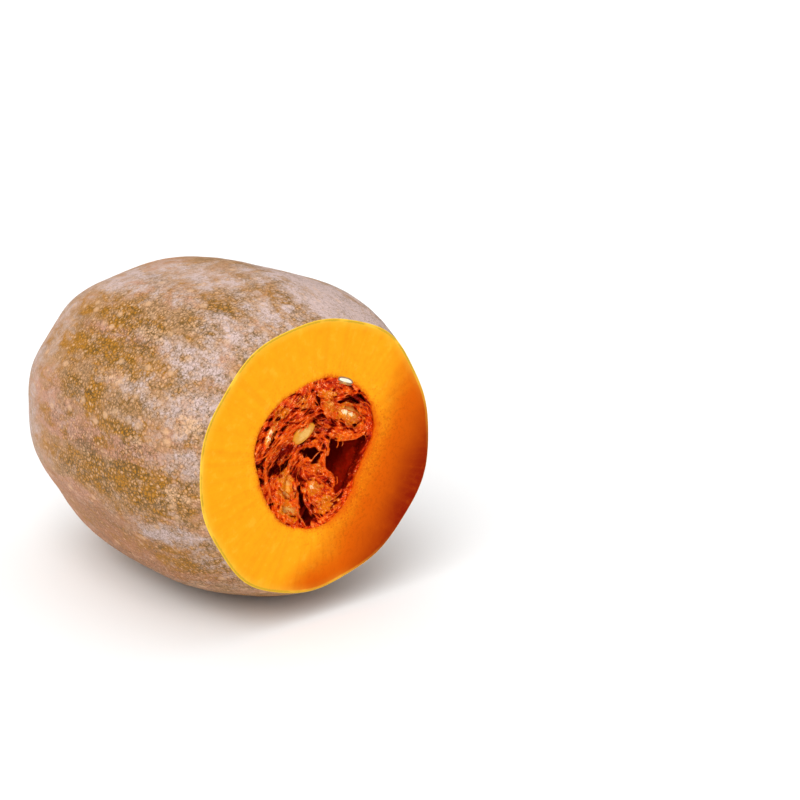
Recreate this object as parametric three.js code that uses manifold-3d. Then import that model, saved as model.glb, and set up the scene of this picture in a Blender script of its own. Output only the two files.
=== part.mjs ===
// Butternut squash, the bulb half: a squash cut across behind its neck, lying on its side.
// Millimetres, +Z up. The squash's length runs along X and the knife's cut faces +X.
// Points of the cavity are given as [y, z, depth]: across and up from the middle of the cut
// face, and how far they lie behind it.

import * as THREE from 'three';
import { mergeVertices } from 'three/addons/utils/BufferGeometryUtils.js';
import Module from 'manifold-3d';

// ---------------------------------------------------------------- driving dimensions

const LENGTH = 192; // cut face to blossom end
const CUT_RADIUS = 66; // of the cut face
const BELLY_RADIUS = 79.8; // where the bulb is fattest
const BELLY_DEPTH = 56.3; // how far the belly lies behind the cut
const TAPER_POWER = 3.04; // how late the bulb tapers past its belly
const BLUNTNESS = 1.9; // how square the blossom end is, 2 is an ellipse

const CENTRE_BEND = { y: -0.00026, z: -0.026 }; // drift of the centre line: y curves, z slopes
const FLAT_DEPTH = 1.1; // how much the underside is pressed flat where the squash lies

// Each lobe raises the rind by height * cos(count * (angle - at)).
const LOBES = [
  { count: 3, height: 0.28, at: -6.7 },
  { count: 4, height: 0.51, at: -28.9 },
  { count: 5, height: 0.26, at: -27.5 },
  { count: 6, height: 0.36, at: -6.8 },
];
const RIBS = { count: 10, height: 0.4, swell: 0.55, at: 14 };

const SCAR = { radius: 6.2, height: 1.3, dimple: 2.6, dimpleRadius: 12 }; // blossom scar

const CAVITY_DEPTH = 134;
const CAVITY_MOUTH = 34.1; // mean radius at the cut
const CAVITY_BELLY = 40.5; // mean radius where it is widest
const CAVITY_BELLY_DEPTH = 50;
const CAVITY_POWER = 2.2;
// The mouth is not round: each wave moves its edge by height * cos(count * (angle - at)).
const MOUTH_WAVES = [
  { count: 1, height: 3.95, at: 131 },
  { count: 2, height: 2.28, at: 66.9 },
  { count: 3, height: 1.9, at: 31.2 },
  { count: 5, height: 0.56, at: 10.5 },
];
const WALL_RIDGES = [
  { count: 13, height: 0.55, at: 8 },
  { count: 7, height: 0.7, at: 20 },
];
const WALL_RIDGE_START = 18; // depth over which the ridges grow in behind the cut

const GAP = 0.35; // kept between the rind's solid, the pulp and the seeds
const KNIFE_GAP = 0.3; // the pulp stays this far behind the cut

const RIND_STEPS = 80; // facets around the rind
const CAVITY_STEPS = 48; // facets around the cavity
const FRONT_ROWS = 6; // rows from the cut to the belly
const TAPER_ROWS = 13; // rows from the belly to the scar's dimple
const CAVITY_ROWS = 13;

// ---------------------------------------------------------------- the pulp

// Pods are seeds wrapped in pulp: [length, width, thickness], turned by lean in the plane of
// the cut, dipped towards the blossom end and rolled about their length, in degrees.
const FRONT_PODS = [
  { at: [-15, 25, 7.5], size: [18, 11, 6.5], lean: 38 },
  { at: [-5, 28.5, 8], size: [17, 11, 6], lean: 15 },
  { at: [10.5, 29.5, 7], size: [17, 10, 6.5], lean: -14 },
  { at: [9, 22, 7.5], size: [13, 9, 6], lean: -30 },
  { at: [21.4, 15.7, 8], size: [17, 12, 7.5], lean: -32 },
  { at: [19.6, 6, 8], size: [20, 8, 6.5], lean: -8 },
  { at: [8.5, 12, 9], size: [14, 9, 6], lean: 70 },
  { at: [0.1, -9.5, 8], size: [17, 9, 6.5], lean: -18 },
  { at: [1.2, -18.5, 8], size: [17, 12, 8.5], lean: -58 },
  { at: [-17.5, -12.5, 7.5], size: [16, 11, 7.5], lean: 98 },
  { at: [-16, -23.5, 7], size: [15, 9.5, 6.5], lean: -52 },
  { at: [8.2, -27.3, 8], size: [16, 11, 7.5], lean: 12 },
  { at: [17.5, -21.5, 9.5], size: [12, 7, 5.5], lean: 52 },
  { at: [-17.5, 17.5, 8], size: [13, 8, 5.5], lean: 40 },
  { at: [-19, 6.5, 9], size: [15, 8, 6], lean: 24 },
];

// Strands are cords of pulp along a path of [y, z, depth] points.
const FRONT_STRANDS = [
  {
    radius: 1.3,
    path: [[-38, 0, 4], [-28.2, 6.9, 3], [-18, 13.6, 3], [-10, 17.7, 3.4], [-3, 19.5, 4.5], [7, 22, 6]],
  },
  {
    radius: 1.0,
    path: [[-20, -13, 5], [-17.7, -5.6, 3.4], [-12.6, 1.1, 3.4], [-8.7, 6.6, 4.4], [-12, 14, 6]],
  },
  {
    radius: 0.9,
    path: [[-31, 12, 5], [-29.2, 3.2, 2.6], [-28.9, -4.4, 2.4], [-27.1, -11.7, 3], [-19, -22, 6]],
  },
  { radius: 1.3, path: [[22, 26, 6], [30, 18.3, 3.6], [31.6, 12.2, 3], [31, 5.3, 3], [32, -6, 5]] },
  { radius: 0.9, path: [[-1, 40, 5], [-1.5, 30, 4.4], [5, 25.5, 5], [9, 21, 6.5]] },
  {
    radius: 0.8,
    path: [[-12, 3, 4.5], [-6, 6.5, 4.5], [1.5, 5, 4.5], [5.5, 1, 4.5], [5, -4, 5], [0, -8, 6]],
  },
  {
    radius: 1.0,
    path: [[9, 10, 7], [6.5, 2, 4.5], [6, -4.5, 4.4], [7.5, -10, 4.8], [10, -17, 5], [11, -26, 7]],
  },
  { radius: 1.3, path: [[6, 8.5, 7.5], [16, 5.5, 6], [24, 4.6, 5.5], [34, 5, 5]] },
  { radius: 0.9, path: [[-12, -5, 5], [-12.8, -15, 4], [-11, -22, 3.6], [-8.5, -30, 3.6], [-5, -42, 4]] },
  { radius: 0.9, path: [[-9, -10, 6.5], [-6.5, -20, 4.6], [-2.5, -28, 4.6], [-1, -42, 6]] },
  { radius: 0.6, path: [[-2, -6.5, 6], [1, -1, 4.6], [4, 4, 5]] },
  { radius: 0.7, path: [[1, 20.5, 5.2], [4, 15.5, 5], [9, 13, 6.4], [8, 6.5, 6.4]] },
  { radius: 1.0, path: [[-17, 6, 7], [-8, 7.6, 6.6], [-2, 8.6, 6.6], [6, 12, 7]] },
  { radius: 1.2, path: [[7, 24, 6.6], [13, 12, 7], [20, 10, 7], [34, 10, 6]] },
  { radius: 1.3, path: [[-24, -25, 6], [-12, -31, 5.4], [-2, -33, 5.6], [8, -31.5, 6], [25, -18, 7]] },
  { radius: 0.8, path: [[-34, -14, 5], [-21, -18.6, 4.2], [-14, -18.6, 4.4], [-8, -13, 5.6]] },
  { radius: 0.8, path: [[-38, -8, 4], [-28, -7.6, 3.2], [-20, -6.8, 4], [-10, -3, 4.8], [-1, -8, 6]] },
];

// Webs are thin skins of pulp stretched in their outline of [y, z] points.
const WEB_THICKNESS = 0.9;
const WEBS = [
  { depth: 5.4, outline: [[-27, 18], [-12, 31], [-2, 36], [0, 29], [-1, 21], [-8, 18.5], [-18, 14]] },
  { depth: 5.4, outline: [[2, 35], [12, 40], [27, 30], [19, 25.4], [8, 22], [3.5, 27]] },
  { depth: 4.2, outline: [[27, 14], [36, 12], [36, 2], [29.5, 0], [26, 5]] },
  { depth: 5, outline: [[-28, -9], [-15, -7.4], [-12, -8], [-12.8, -16], [-20, -24]] },
  { depth: 6, outline: [[-7, -7], [5, -5], [8, -12], [12, -22], [6, -35], [-2, -30], [-7, -18]] },
  { depth: 5, outline: [[-32, 8], [-18, 11], [-9, 7], [-13, 3.4], [-24, 3.4]] },
  { depth: 6.6, outline: [[3, 20], [12, 20], [24, 12], [32, 6.5], [20, 5], [8, 7.5], [5, 14]] },
];

// Cords of pulp carry pods along the cavity's wall towards the blossom end.
const WALL_CORDS = [20, 66, 112, 158, 204, 250, 296]; // degrees around the cavity
const CORD_RADIUS = 1.7;
const CORD_DEPTHS = [6, 24, 46, 70, 94, 116];
const CORD_REACH = 0.8; // of the cavity's radius
const CORD_PODS = [30, 62]; // depths of the pods that a cord carries
const CORD_POD_SIZE = [17, 11, 7];
const CORD_END = [0, 0, 124]; // the cords meet here

const POD_STEPS = { around: 8, along: 5 };
const STRAND_SIDES = 5;
const STRAND_STEP = 9; // length of one step of a strand in the front net
const CORD_STEP = 17; // and of one along the wall
const SEED_STEPS = { around: 12, along: 7 };

// ---------------------------------------------------------------- bare seeds

const SEED_SIZE = [14.2, 8.6, 2.8];
const SEED_NARROWING = 0.3; // of the seed's pointed end
const SEEDS = [
  { name: 'seed_cut_by_knife', at: [16.4, 32.9, 2.7], lean: -29, dip: 14, roll: 66 },
  { name: 'seed_in_the_middle', at: [-6.4, 12.3, 3.4], lean: 22, dip: 4, roll: 16 },
  { name: 'seed_at_left_rim', at: [-25.5, 14.2, 4.5], lean: 46, dip: 18, roll: 58 },
  { name: 'seed_in_upper_pod', at: [21, 15.9, 4.8], lean: -30, dip: 6, roll: -30 },
  { name: 'seed_in_lower_pod', at: [-15.6, -24, 4.6], lean: -50, dip: 6, roll: 30 },
  { name: 'seed_in_left_pod', at: [-15.9, -12.4, 5], lean: 100, dip: 4, roll: -34 },
];

// ---------------------------------------------------------------- colours

const MATERIALS = {
  squash: new THREE.MeshStandardMaterial({ color: 0xe08a3c, roughness: 0.55, metalness: 0 }),
  pulp: new THREE.MeshStandardMaterial({ color: 0xc8460c, roughness: 0.3, metalness: 0 }),
  seed: new THREE.MeshStandardMaterial({ color: 0xe9d9a4, roughness: 0.4, metalness: 0 }),
};

// ---------------------------------------------------------------- solids

const manifold = await Module();
manifold.setup();

function toSolid(geometry) {
  geometry.deleteAttribute('normal');
  geometry.deleteAttribute('uv');
  const merged = mergeVertices(geometry, 1e-4);
  return new manifold.Manifold(new manifold.Mesh({
    numProp: 3,
    vertProperties: new Float32Array(merged.attributes.position.array),
    triVerts: new Uint32Array(merged.index.array),
  }));
}

function toGeometry(solid) {
  const mesh = solid.getMesh();
  const geometry = new THREE.BufferGeometry();
  geometry.setAttribute('position', new THREE.BufferAttribute(mesh.vertProperties, 3));
  geometry.setIndex(new THREE.BufferAttribute(mesh.triVerts, 1));
  geometry.computeVertexNormals();
  return geometry;
}

function fuse(solids) {
  return solids.reduce((joined, solid) => joined.add(solid));
}

// The piece that holds together as one body; loose scraps are left out.
function largestBody(solid) {
  const bodies = solid.decompose();
  return bodies.reduce((best, body) => (body.volume() > best.volume() ? body : best));
}

// ---------------------------------------------------------------- rind and cavity

const radians = THREE.MathUtils.degToRad;

function waves(list, angle) {
  return list.reduce((sum, w) => sum + w.height * Math.cos(w.count * (angle - radians(w.at))), 0);
}

// A radius that swells from the cut to its belly and then closes at its end.
function swellingRadius(depth, cut, belly, bellyDepth, end, power, bluntness) {
  if (depth <= bellyDepth) {
    return belly - (belly - cut) * (1 - depth / bellyDepth) ** 2;
  }
  const along = Math.min((depth - bellyDepth) / (end - bellyDepth), 1);
  return belly * (1 - along ** power) ** (1 / bluntness);
}

function centre(depth) {
  return {
    y: CENTRE_BEND.y * depth ** 2,
    z: CENTRE_BEND.z * depth,
  };
}

function rindPoint(depth, radius, angle) {
  const middle = centre(depth);
  const swell = RIBS.height + RIBS.swell * Math.sin(Math.PI * depth / LENGTH);
  const ribs = swell * Math.cos(RIBS.count * (angle - radians(RIBS.at)));
  const fade = Math.min(radius / CUT_RADIUS, 1) ** 1.5;
  const r = radius + fade * (waves(LOBES, angle) + ribs);
  const sunk = SCAR.dimple * Math.exp(-((radius / SCAR.dimpleRadius) ** 2));
  const raised = radius < SCAR.radius ? SCAR.height : 0;
  const x = -depth + sunk - raised;
  return [x, middle.y + r * Math.cos(angle), middle.z + r * Math.sin(angle)];
}

function cavityPoint(depth, angle, shrink) {
  const mean = swellingRadius(
    depth, CAVITY_MOUTH, CAVITY_BELLY, CAVITY_BELLY_DEPTH, CAVITY_DEPTH, CAVITY_POWER, 2);
  const fade = mean / CAVITY_MOUTH;
  const mouth = waves(MOUTH_WAVES, angle) * Math.min(fade, 1) * (1 - 0.6 * depth / CAVITY_DEPTH);
  const grown = Math.min(depth / WALL_RIDGE_START, 1) * Math.min(fade, 1);
  const r = Math.max(mean + mouth + grown * waves(WALL_RIDGES, angle) - shrink, 0);
  const middle = centre(depth);
  return [-depth, middle.y + r * Math.cos(angle), middle.z + r * Math.sin(angle)];
}

function ring(steps, pointAt) {
  return Array.from({ length: steps }, (_, i) => pointAt(i / steps * 2 * Math.PI));
}

// Bands of triangles between rings of equal counts. The last ring closes on a tip.
function skinRings(rings, tip, flipped) {
  const triangles = [];
  const add = (a, b, c) => triangles.push(...(flipped ? [a, c, b] : [a, b, c]).flat());
  for (let row = 0; row + 1 < rings.length; row += 1) {
    const [near, far] = [rings[row], rings[row + 1]];
    near.forEach((a, i) => {
      const j = (i + 1) % near.length;
      add(a, far[i], near[j]);
      add(near[j], far[i], far[j]);
    });
  }
  const last = rings[rings.length - 1];
  last.forEach((a, i) => add(a, tip, last[(i + 1) % last.length]));
  return triangles;
}

function soup(triangles) {
  const geometry = new THREE.BufferGeometry();
  geometry.setAttribute('position', new THREE.Float32BufferAttribute(triangles, 3));
  return geometry;
}

// Flat ring of triangles facing +X between an outline and an optional hole in it.
function flatFace(outline, holes, flipped) {
  const flat = (points) => points.map(([, y, z]) => new THREE.Vector2(y, z));
  const corners = [outline, ...holes].flat();
  const faces = THREE.ShapeUtils.triangulateShape(flat(outline), holes.map(flat));
  return faces.flatMap(([a, b, c]) => (flipped ? [a, c, b] : [a, b, c]).flatMap((i) => corners[i]));
}

function rindRings() {
  const rings = [];
  for (let row = 0; row < FRONT_ROWS; row += 1) {
    const depth = BELLY_DEPTH * row / FRONT_ROWS;
    rings.push([depth, swellingRadius(
      depth, CUT_RADIUS, BELLY_RADIUS, BELLY_DEPTH, LENGTH, TAPER_POWER, BLUNTNESS)]);
  }
  for (let row = 0; row < TAPER_ROWS; row += 1) {
    const turn = Math.PI / 2 * row / TAPER_ROWS;
    rings.push(taperRow(BELLY_RADIUS * Math.cos(turn) ** (2 / BLUNTNESS)));
  }
  const scarRows = [1.9, 1.35, 1.02, 0.98, 0.55];
  scarRows.forEach((share) => rings.push(taperRow(SCAR.radius * share)));
  return rings.map(([depth, radius]) => ring(RIND_STEPS, (angle) => rindPoint(depth, radius, angle)));
}

// Depth and radius of the ring whose radius past the belly is given.
function taperRow(radius) {
  const along = (1 - (radius / BELLY_RADIUS) ** BLUNTNESS) ** (1 / TAPER_POWER);
  return [BELLY_DEPTH + along * (LENGTH - BELLY_DEPTH), radius];
}

function cavityRings(start, shrink) {
  const depths = [start, 6, 14, 24, 37, 50];
  for (let row = 1; row <= CAVITY_ROWS - depths.length; row += 1) {
    const turn = Math.PI / 2 * row / (CAVITY_ROWS - depths.length + 0.5);
    const along = Math.sin(turn) ** (2 / CAVITY_POWER);
    depths.push(CAVITY_BELLY_DEPTH + along * (CAVITY_DEPTH - CAVITY_BELLY_DEPTH));
  }
  return depths.map((depth) => ring(CAVITY_STEPS, (angle) => cavityPoint(depth, angle, shrink)));
}

function squashSolid() {
  const rind = rindRings();
  const cavity = cavityRings(0, 0);
  const triangles = [
    ...skinRings(rind, rindPoint(LENGTH, 0, 0), false),
    ...skinRings(cavity, cavityPoint(CAVITY_DEPTH, 0, 0), true),
    ...flatFace(rind[0], [cavity[0]], false),
  ];
  return toSolid(soup(triangles));
}

// The room that the pulp may fill: the cavity, drawn in from its wall and from the cut.
function pulpRoom() {
  const rings = cavityRings(KNIFE_GAP, GAP);
  const triangles = [
    ...skinRings(rings, cavityPoint(CAVITY_DEPTH - 2 * GAP, 0, CAVITY_BELLY), false),
    ...flatFace(rings[0], [], false),
  ];
  return toSolid(soup(triangles));
}

// ---------------------------------------------------------------- pulp and seeds

const inCavity = ([y, z, depth]) => new THREE.Vector3(-depth, y, z);

// Sets an egg-shaped solid whose length lies in the cut plane at lean, dipped and rolled.
function placed(geometry, { at, lean = 0, dip = 0, roll = 0 }) {
  const [turn, slope] = [radians(lean), radians(dip)];
  const along = new THREE.Vector3(
    -Math.sin(slope), Math.cos(turn) * Math.cos(slope), Math.sin(turn) * Math.cos(slope));
  const side = new THREE.Vector3(0, -Math.sin(turn), Math.cos(turn));
  side.applyAxisAngle(along, radians(roll));
  const up = new THREE.Vector3().crossVectors(along, side);
  const matrix = new THREE.Matrix4().makeBasis(along, side, up).setPosition(inCavity(at));
  return geometry.applyMatrix4(matrix);
}

// An ellipsoid along X; the end at +X is narrowed as a seed's tip is.
function eggGeometry([length, width, thickness], steps, narrowing, extra = 0) {
  const geometry = new THREE.SphereGeometry(1, steps.around, steps.along);
  geometry.rotateZ(-Math.PI / 2);
  const position = geometry.attributes.position;
  for (let i = 0; i < position.count; i += 1) {
    const x = position.getX(i);
    const taper = 1 - narrowing * x * (1 + x) / 2;
    position.setXYZ(
      i,
      x * (length / 2 + extra),
      position.getY(i) * (width / 2 * taper + extra),
      position.getZ(i) * (thickness / 2 + extra),
    );
  }
  return geometry;
}

function podSolid(pod) {
  return toSolid(placed(eggGeometry(pod.size, POD_STEPS, 0.15), pod));
}

function seedSolid(seed, extra = 0) {
  return toSolid(placed(eggGeometry(SEED_SIZE, SEED_STEPS, SEED_NARROWING, extra), seed));
}

function strandSolid({ radius, path }, step = STRAND_STEP) {
  const curve = new THREE.CatmullRomCurve3(path.map(inCavity), false, 'centripetal');
  const section = new THREE.Shape(ring(STRAND_SIDES, (angle) => new THREE.Vector2(
    radius * Math.cos(angle), radius * Math.sin(angle))));
  return toSolid(new THREE.ExtrudeGeometry(section, {
    steps: Math.max(3, Math.round(curve.getLength() / step)),
    extrudePath: curve,
  }));
}

function webSolid({ depth, outline }) {
  const shape = new THREE.Shape(outline.map(([y, z]) => new THREE.Vector2(y, z)));
  const geometry = new THREE.ExtrudeGeometry(shape, { depth: WEB_THICKNESS, bevelEnabled: false });
  const toCut = new THREE.Matrix4().makeBasis(
    new THREE.Vector3(0, 1, 0), new THREE.Vector3(0, 0, 1), new THREE.Vector3(1, 0, 0));
  geometry.applyMatrix4(toCut.setPosition(-depth - WEB_THICKNESS, 0, 0));
  return toSolid(geometry);
}

function cordPoint(angle, depth, reach) {
  const [, y, z] = cavityPoint(depth, radians(angle), 0);
  const middle = centre(depth);
  return [middle.y + reach * (y - middle.y), middle.z + reach * (z - middle.z), depth];
}

function cordParts(angle, index) {
  const path = CORD_DEPTHS.map((depth) => cordPoint(angle, depth, CORD_REACH));
  const cord = strandSolid({ radius: CORD_RADIUS, path: [...path, CORD_END] }, CORD_STEP);
  const pods = CORD_PODS.map((depth, row) => podSolid({
    at: cordPoint(angle + 9 * (-1) ** row, depth + 6 * (index % 2), CORD_REACH),
    size: CORD_POD_SIZE,
    lean: angle + 90,
    dip: 50,
  }));
  return [cord, ...pods];
}

function pulpSolid() {
  const parts = [
    ...FRONT_PODS.map(podSolid),
    ...FRONT_STRANDS.map((strand) => strandSolid(strand)),
    ...WEBS.map(webSolid),
    ...WALL_CORDS.flatMap(cordParts),
  ];
  return fuse(parts).intersect(pulpRoom());
}

function boxSolid(width, depth, height, x, y, z) {
  return toSolid(new THREE.BoxGeometry(width, depth, height).translate(x, y, z));
}

// ---------------------------------------------------------------- the squash

const sockets = fuse(SEEDS.map((seed) => seedSolid(seed, GAP)));
const whole = squashSolid();
const lowest = whole.boundingBox().min[2];
const floor = lowest + FLAT_DEPTH;
const below = boxSolid(3 * LENGTH, 3 * LENGTH, 100, 0, 0, floor - 50);
const beforeTheCut = boxSolid(100, 3 * LENGTH, 3 * LENGTH, 50, 0, 0);

const squash = new THREE.Group();

function addPiece(name, solid, material) {
  const mesh = new THREE.Mesh(toGeometry(solid), material);
  mesh.name = name;
  squash.add(mesh);
}

const flesh = whole.subtract(below).subtract(sockets);
addPiece('squash_half', flesh, MATERIALS.squash);
addPiece('pulp', largestBody(pulpSolid().subtract(sockets)), MATERIALS.pulp);
SEEDS.forEach((seed) => {
  addPiece(seed.name, seedSolid(seed).subtract(beforeTheCut), MATERIALS.seed);
});

// The squash stands with the middle of its box over the origin.
const box = flesh.boundingBox();
squash.position.set(
  -(box.min[0] + box.max[0]) / 2,
  -(box.min[1] + box.max[1]) / 2,
  -floor,
);

export default squash;
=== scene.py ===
"""Looks of the bulb half of a butternut squash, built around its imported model.

Shapes are worked out in millimetres from the middle of the cut face: x is 0 on the cut and
negative behind it, y runs across and z up. `placed` sets such points in the frame, in metres.
"""

import math

import bmesh
import bpy
import numpy as np
from bpy.props import FloatProperty, FloatVectorProperty, IntProperty, PointerProperty
from mathutils import Matrix, Vector


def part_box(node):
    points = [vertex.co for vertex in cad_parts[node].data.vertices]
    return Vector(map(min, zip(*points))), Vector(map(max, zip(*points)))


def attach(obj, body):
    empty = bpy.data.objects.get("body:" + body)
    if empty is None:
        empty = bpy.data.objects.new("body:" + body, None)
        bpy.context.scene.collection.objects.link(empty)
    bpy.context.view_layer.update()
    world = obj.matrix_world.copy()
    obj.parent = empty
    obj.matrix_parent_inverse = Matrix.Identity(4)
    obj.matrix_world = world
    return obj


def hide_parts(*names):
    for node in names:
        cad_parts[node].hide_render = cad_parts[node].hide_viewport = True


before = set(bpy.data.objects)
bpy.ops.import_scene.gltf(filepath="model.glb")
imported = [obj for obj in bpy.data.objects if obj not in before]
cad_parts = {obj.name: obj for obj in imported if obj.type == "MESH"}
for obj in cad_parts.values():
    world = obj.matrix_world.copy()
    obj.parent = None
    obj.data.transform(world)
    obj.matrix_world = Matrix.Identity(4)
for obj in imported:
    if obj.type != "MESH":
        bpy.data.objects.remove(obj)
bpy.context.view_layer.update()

bl_info = {
    "name": "Butternut squash half",
    "version": (1, 0, 0),
    "blender": (4, 5, 0),
    "location": "View3D > Sidebar > Squash",
    "description": "Makes the rind, flesh, pulp and seeds of a cut butternut squash",
    "category": "Add Mesh",
}

MM = 0.001

# ---- sizes shared with the solids

LENGTH = 192
CUT_RADIUS = 66
BELLY_RADIUS = 79.8
BELLY_DEPTH = 56.3
TAPER_POWER = 3.04
BLUNTNESS = 1.9
BEND_Y = -0.00026  # drift of the centre line, by the depth squared
BEND_Z = -0.026  # and by the depth

LOBES = [(3, 0.28, -6.7), (4, 0.51, -28.9), (5, 0.26, -27.5), (6, 0.36, -6.8)]  # count, height, at
RIB_COUNT = 10
RIB_HEIGHT = 0.4
RIB_SWELL = 0.55
RIB_AT = 14

SCAR_RADIUS = 6.2
SCAR_HEIGHT = 1.3
DIMPLE_DEPTH = 2.6
DIMPLE_RADIUS = 12

CAVITY_DEPTH = 134
CAVITY_MOUTH = 34.1
CAVITY_BELLY = 40.5
CAVITY_BELLY_DEPTH = 50
CAVITY_POWER = 2.2
MOUTH_WAVES = [(1, 3.95, 131), (2, 2.28, 66.9), (3, 1.9, 31.2), (5, 0.56, 10.5)]
WALL_RIDGES = [(13, 0.55, 8), (7, 0.7, 20)]
WALL_RIDGE_START = 18
WALL_END = 118  # where the rings of the wall start to draw together at the bottom

SEED_SIZE = (14.2, 8.6, 2.8)
SEED_NARROWING = 0.3

# Pods are seeds wrapped in pulp: middle, size, lean and dip.
FRONT_PODS = [
    ((7.5, -15, 25), (18, 11, 6.5), 38, 0),
    ((8, -5, 28.5), (17, 11, 6), 15, 0),
    ((7, 10.5, 29.5), (17, 10, 6.5), -14, 0),
    ((7.5, 9, 22), (13, 9, 6), -30, 0),
    ((8, 21.4, 15.7), (17, 12, 7.5), -32, 0),
    ((8, 19.6, 6), (20, 8, 6.5), -8, 0),
    ((9, 8.5, 12), (14, 9, 6), 70, 0),
    ((8, 0.1, -9.5), (17, 9, 6.5), -18, 0),
    ((8, 1.2, -18.5), (17, 12, 8.5), -58, 0),
    ((7.5, -17.5, -12.5), (16, 11, 7.5), 98, 0),
    ((7, -16, -23.5), (15, 9.5, 6.5), -52, 0),
    ((8, 8.2, -27.3), (16, 11, 7.5), 12, 0),
    ((8, 21.5, -24.5), (11, 6, 5), 52, 0),
    ((8, -17.5, 17.5), (13, 8, 5.5), 40, 0),
    ((9, -19, 6.5), (15, 8, 6), 24, 0),
]
POD_SWELL = (1.0, 1.0, 1.12)

# Strands are cords of pulp: radius and path of (depth, y, z).
FRONT_STRANDS = [
    (1.15, [(4, -38, 0), (3, -28.2, 6.9), (3, -18, 13.6), (3.4, -10, 17.7), (4.5, -3, 19.5), (6, 7, 22)]),
    (0.9, [(5, -20, -13), (3.4, -17.7, -5.6), (3.4, -12.6, 1.1), (4.4, -8.7, 6.6), (6, -12, 14)]),
    (0.8, [(5, -31, 12), (2.6, -29.2, 3.2), (2.4, -28.9, -4.4), (3, -27.1, -11.7), (6, -19, -22)]),
    (1.2, [(6, 22, 26), (3.6, 30, 18.3), (3, 31.6, 12.2), (3, 31, 5.3), (5, 32, -6)]),
    (0.8, [(5, -1, 40), (4.4, -1.5, 30), (5, 5, 25.5), (6.5, 9, 21)]),
    (0.6, [(4.5, -12, 3), (4.5, -6, 6.5), (4.5, 1.5, 5), (4.5, 5.5, 1), (5, 5, -4), (6, 0, -8)]),
    (0.8, [(7, 9, 10), (4.5, 6.5, 2), (4.4, 6, -4.5), (4.8, 7.5, -10), (5, 10, -17), (7, 11, -26)]),
    (1.2, [(7.5, 6, 8.5), (6, 16, 5.5), (5.5, 24, 4.6), (5, 34, 5)]),
    (0.8, [(5, -12, -5), (4, -12.8, -15), (3.6, -11, -22), (3.6, -8.5, -30), (4, -5, -42)]),
    (0.8, [(6.5, -9, -10), (4.6, -6.5, -20), (4.6, -2.5, -28), (6, -1, -42)]),
    (1.2, [(6, -24, -25), (5.4, -12, -31), (5.6, -2, -33), (6, 8, -31.5), (7, 25, -18)]),
    (0.7, [(5, -34, -14), (4.2, -21, -18.6), (4.4, -14, -18.6), (5.6, -8, -13)]),
    (0.7, [(4, -38, -8), (3.2, -28, -7.6), (4, -20, -6.8), (4.8, -10, -3), (6, -1, -8)]),
]

# Threads are thin fibres over the pulp: radius and path of (y, z) where they show.
THREADS = [
    (0.35, [(-35, 2.5), (-33, -0.5), (-31, -2)]),
    (0.35, [(-34.8, 4.5), (-33, 6.3), (-30.5, 7), (-28, 8.2)]),
    (0.5, [(-30.3, 5), (-30.2, -3), (-29.3, -8), (-28.5, -12), (-27, -16)]),
    (0.18, [(-23, 1.5), (-22.7, -1), (-22.5, -3.4)]),
    (0.28, [(-4.9, -1.2), (-3, 0.8), (-0.5, 2.6), (0.8, 3.6)]),
    (0.28, [(0.8, 3.6), (2.8, 1.8), (4.9, -0.3)]),
    (0.22, [(0.6, 3.4), (1.2, 5.8), (2, 7.2)]),
    (0.25, [(4.9, -0.3), (4.6, 2.6), (5.6, 6.2), (6.8, 8.2)]),
    (0.25, [(10.5, 6.6), (11, 4), (10, 2.2)]),
    (0.2, [(13, 5.6), (13.4, 3.6), (13, 2.4)]),
    (0.3, [(3.2, 0), (2.7, -2.5), (2.9, -5.5), (4.2, -7.8)]),
    (0.3, [(9.8, -12), (10.2, -14.8), (9.6, -16)]),
    (0.3, [(-3.5, -8.8), (1, -9.6), (6, -9.6)]),
    (0.3, [(-9, -3), (-3, -4.5), (3, -7), (9, -13)]),
    (0.38, [(-13.8, -12.5), (-13.2, -19), (-12.8, -25), (-10.5, -29.5), (-9, -32.5), (-8, -33.6)]),
    (0.3, [(-8, -18), (-3, -25), (1, -31)]),
    (0.3, [(-6, -26), (-3, -29), (1, -32), (4, -33.5)]),
    (0.3, [(6, -29.5), (10, -28.3)]),
    (0.5, [(-31, 6.8), (-20, 13.3), (-13, 17.5), (-6.5, 20.5)]),
    (0.3, [(-28, 9.5), (-20, 15.5)]),
    (0.5, [(-30, 12.5), (-27.5, 17), (-25.8, 20)]),
    (0.35, [(-27, 14), (-24.5, 18.5)]),
    (0.4, [(-5.8, 35), (-6, 33), (-4.5, 31.3), (-3.2, 30.8), (-0.5, 26), (0, 24.8)]),
    (0.3, [(-6, 34.5), (-3, 35.3), (0, 35.4)]),
    (0.3, [(-2, 17.3), (1.5, 17), (3, 15.5), (4.8, 13.7)]),
    (0.3, [(4.8, 13.7), (2.2, 12.2), (1.5, 10)]),
    (0.4, [(24, 22), (28, 20.5), (31, 16.5), (32, 10), (31.5, 4), (30.6, 0)]),
    (0.3, [(25, 15), (26, 8), (27.5, 3)]),
    (0.3, [(11.5, 21.8), (15, 20.6), (19, 18.2), (24, 15.8)]),
    (0.25, [(12, 23.4), (16, 22.3), (20, 21)]),
    (0.3, [(7, 8.8), (14, 7), (21, 6.4), (27, 8.5)]),
    (0.3, [(9, 6.4), (15, 4.9), (21, 4.6), (25, 5.4)]),
]
FRONT_SLABS = {  # pieces of the front pulp, and between which places across y they lie
    "pulp_front_left": (-44, -15), "pulp_front_middle": (-15, 9), "pulp_front_right": (9, 44),
}
DEEP_SLABS = {"pulp_deep": (-60, 60)}
DEEP_CORNERS = ((-131, -46, -50), (-9, 46, 44))  # of the grid of the deep pulp
CROWD_REACH = 3  # how many grid steps around a point its crowding is counted in
FIBRE_COUNT = 520  # short loose fibres that lie over the pulp
FIBRE_RADIUS = (0.08, 0.2)
FIBRE_STRETCH = (2.5, 8)
FIBRE_STEPS = 10
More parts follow.
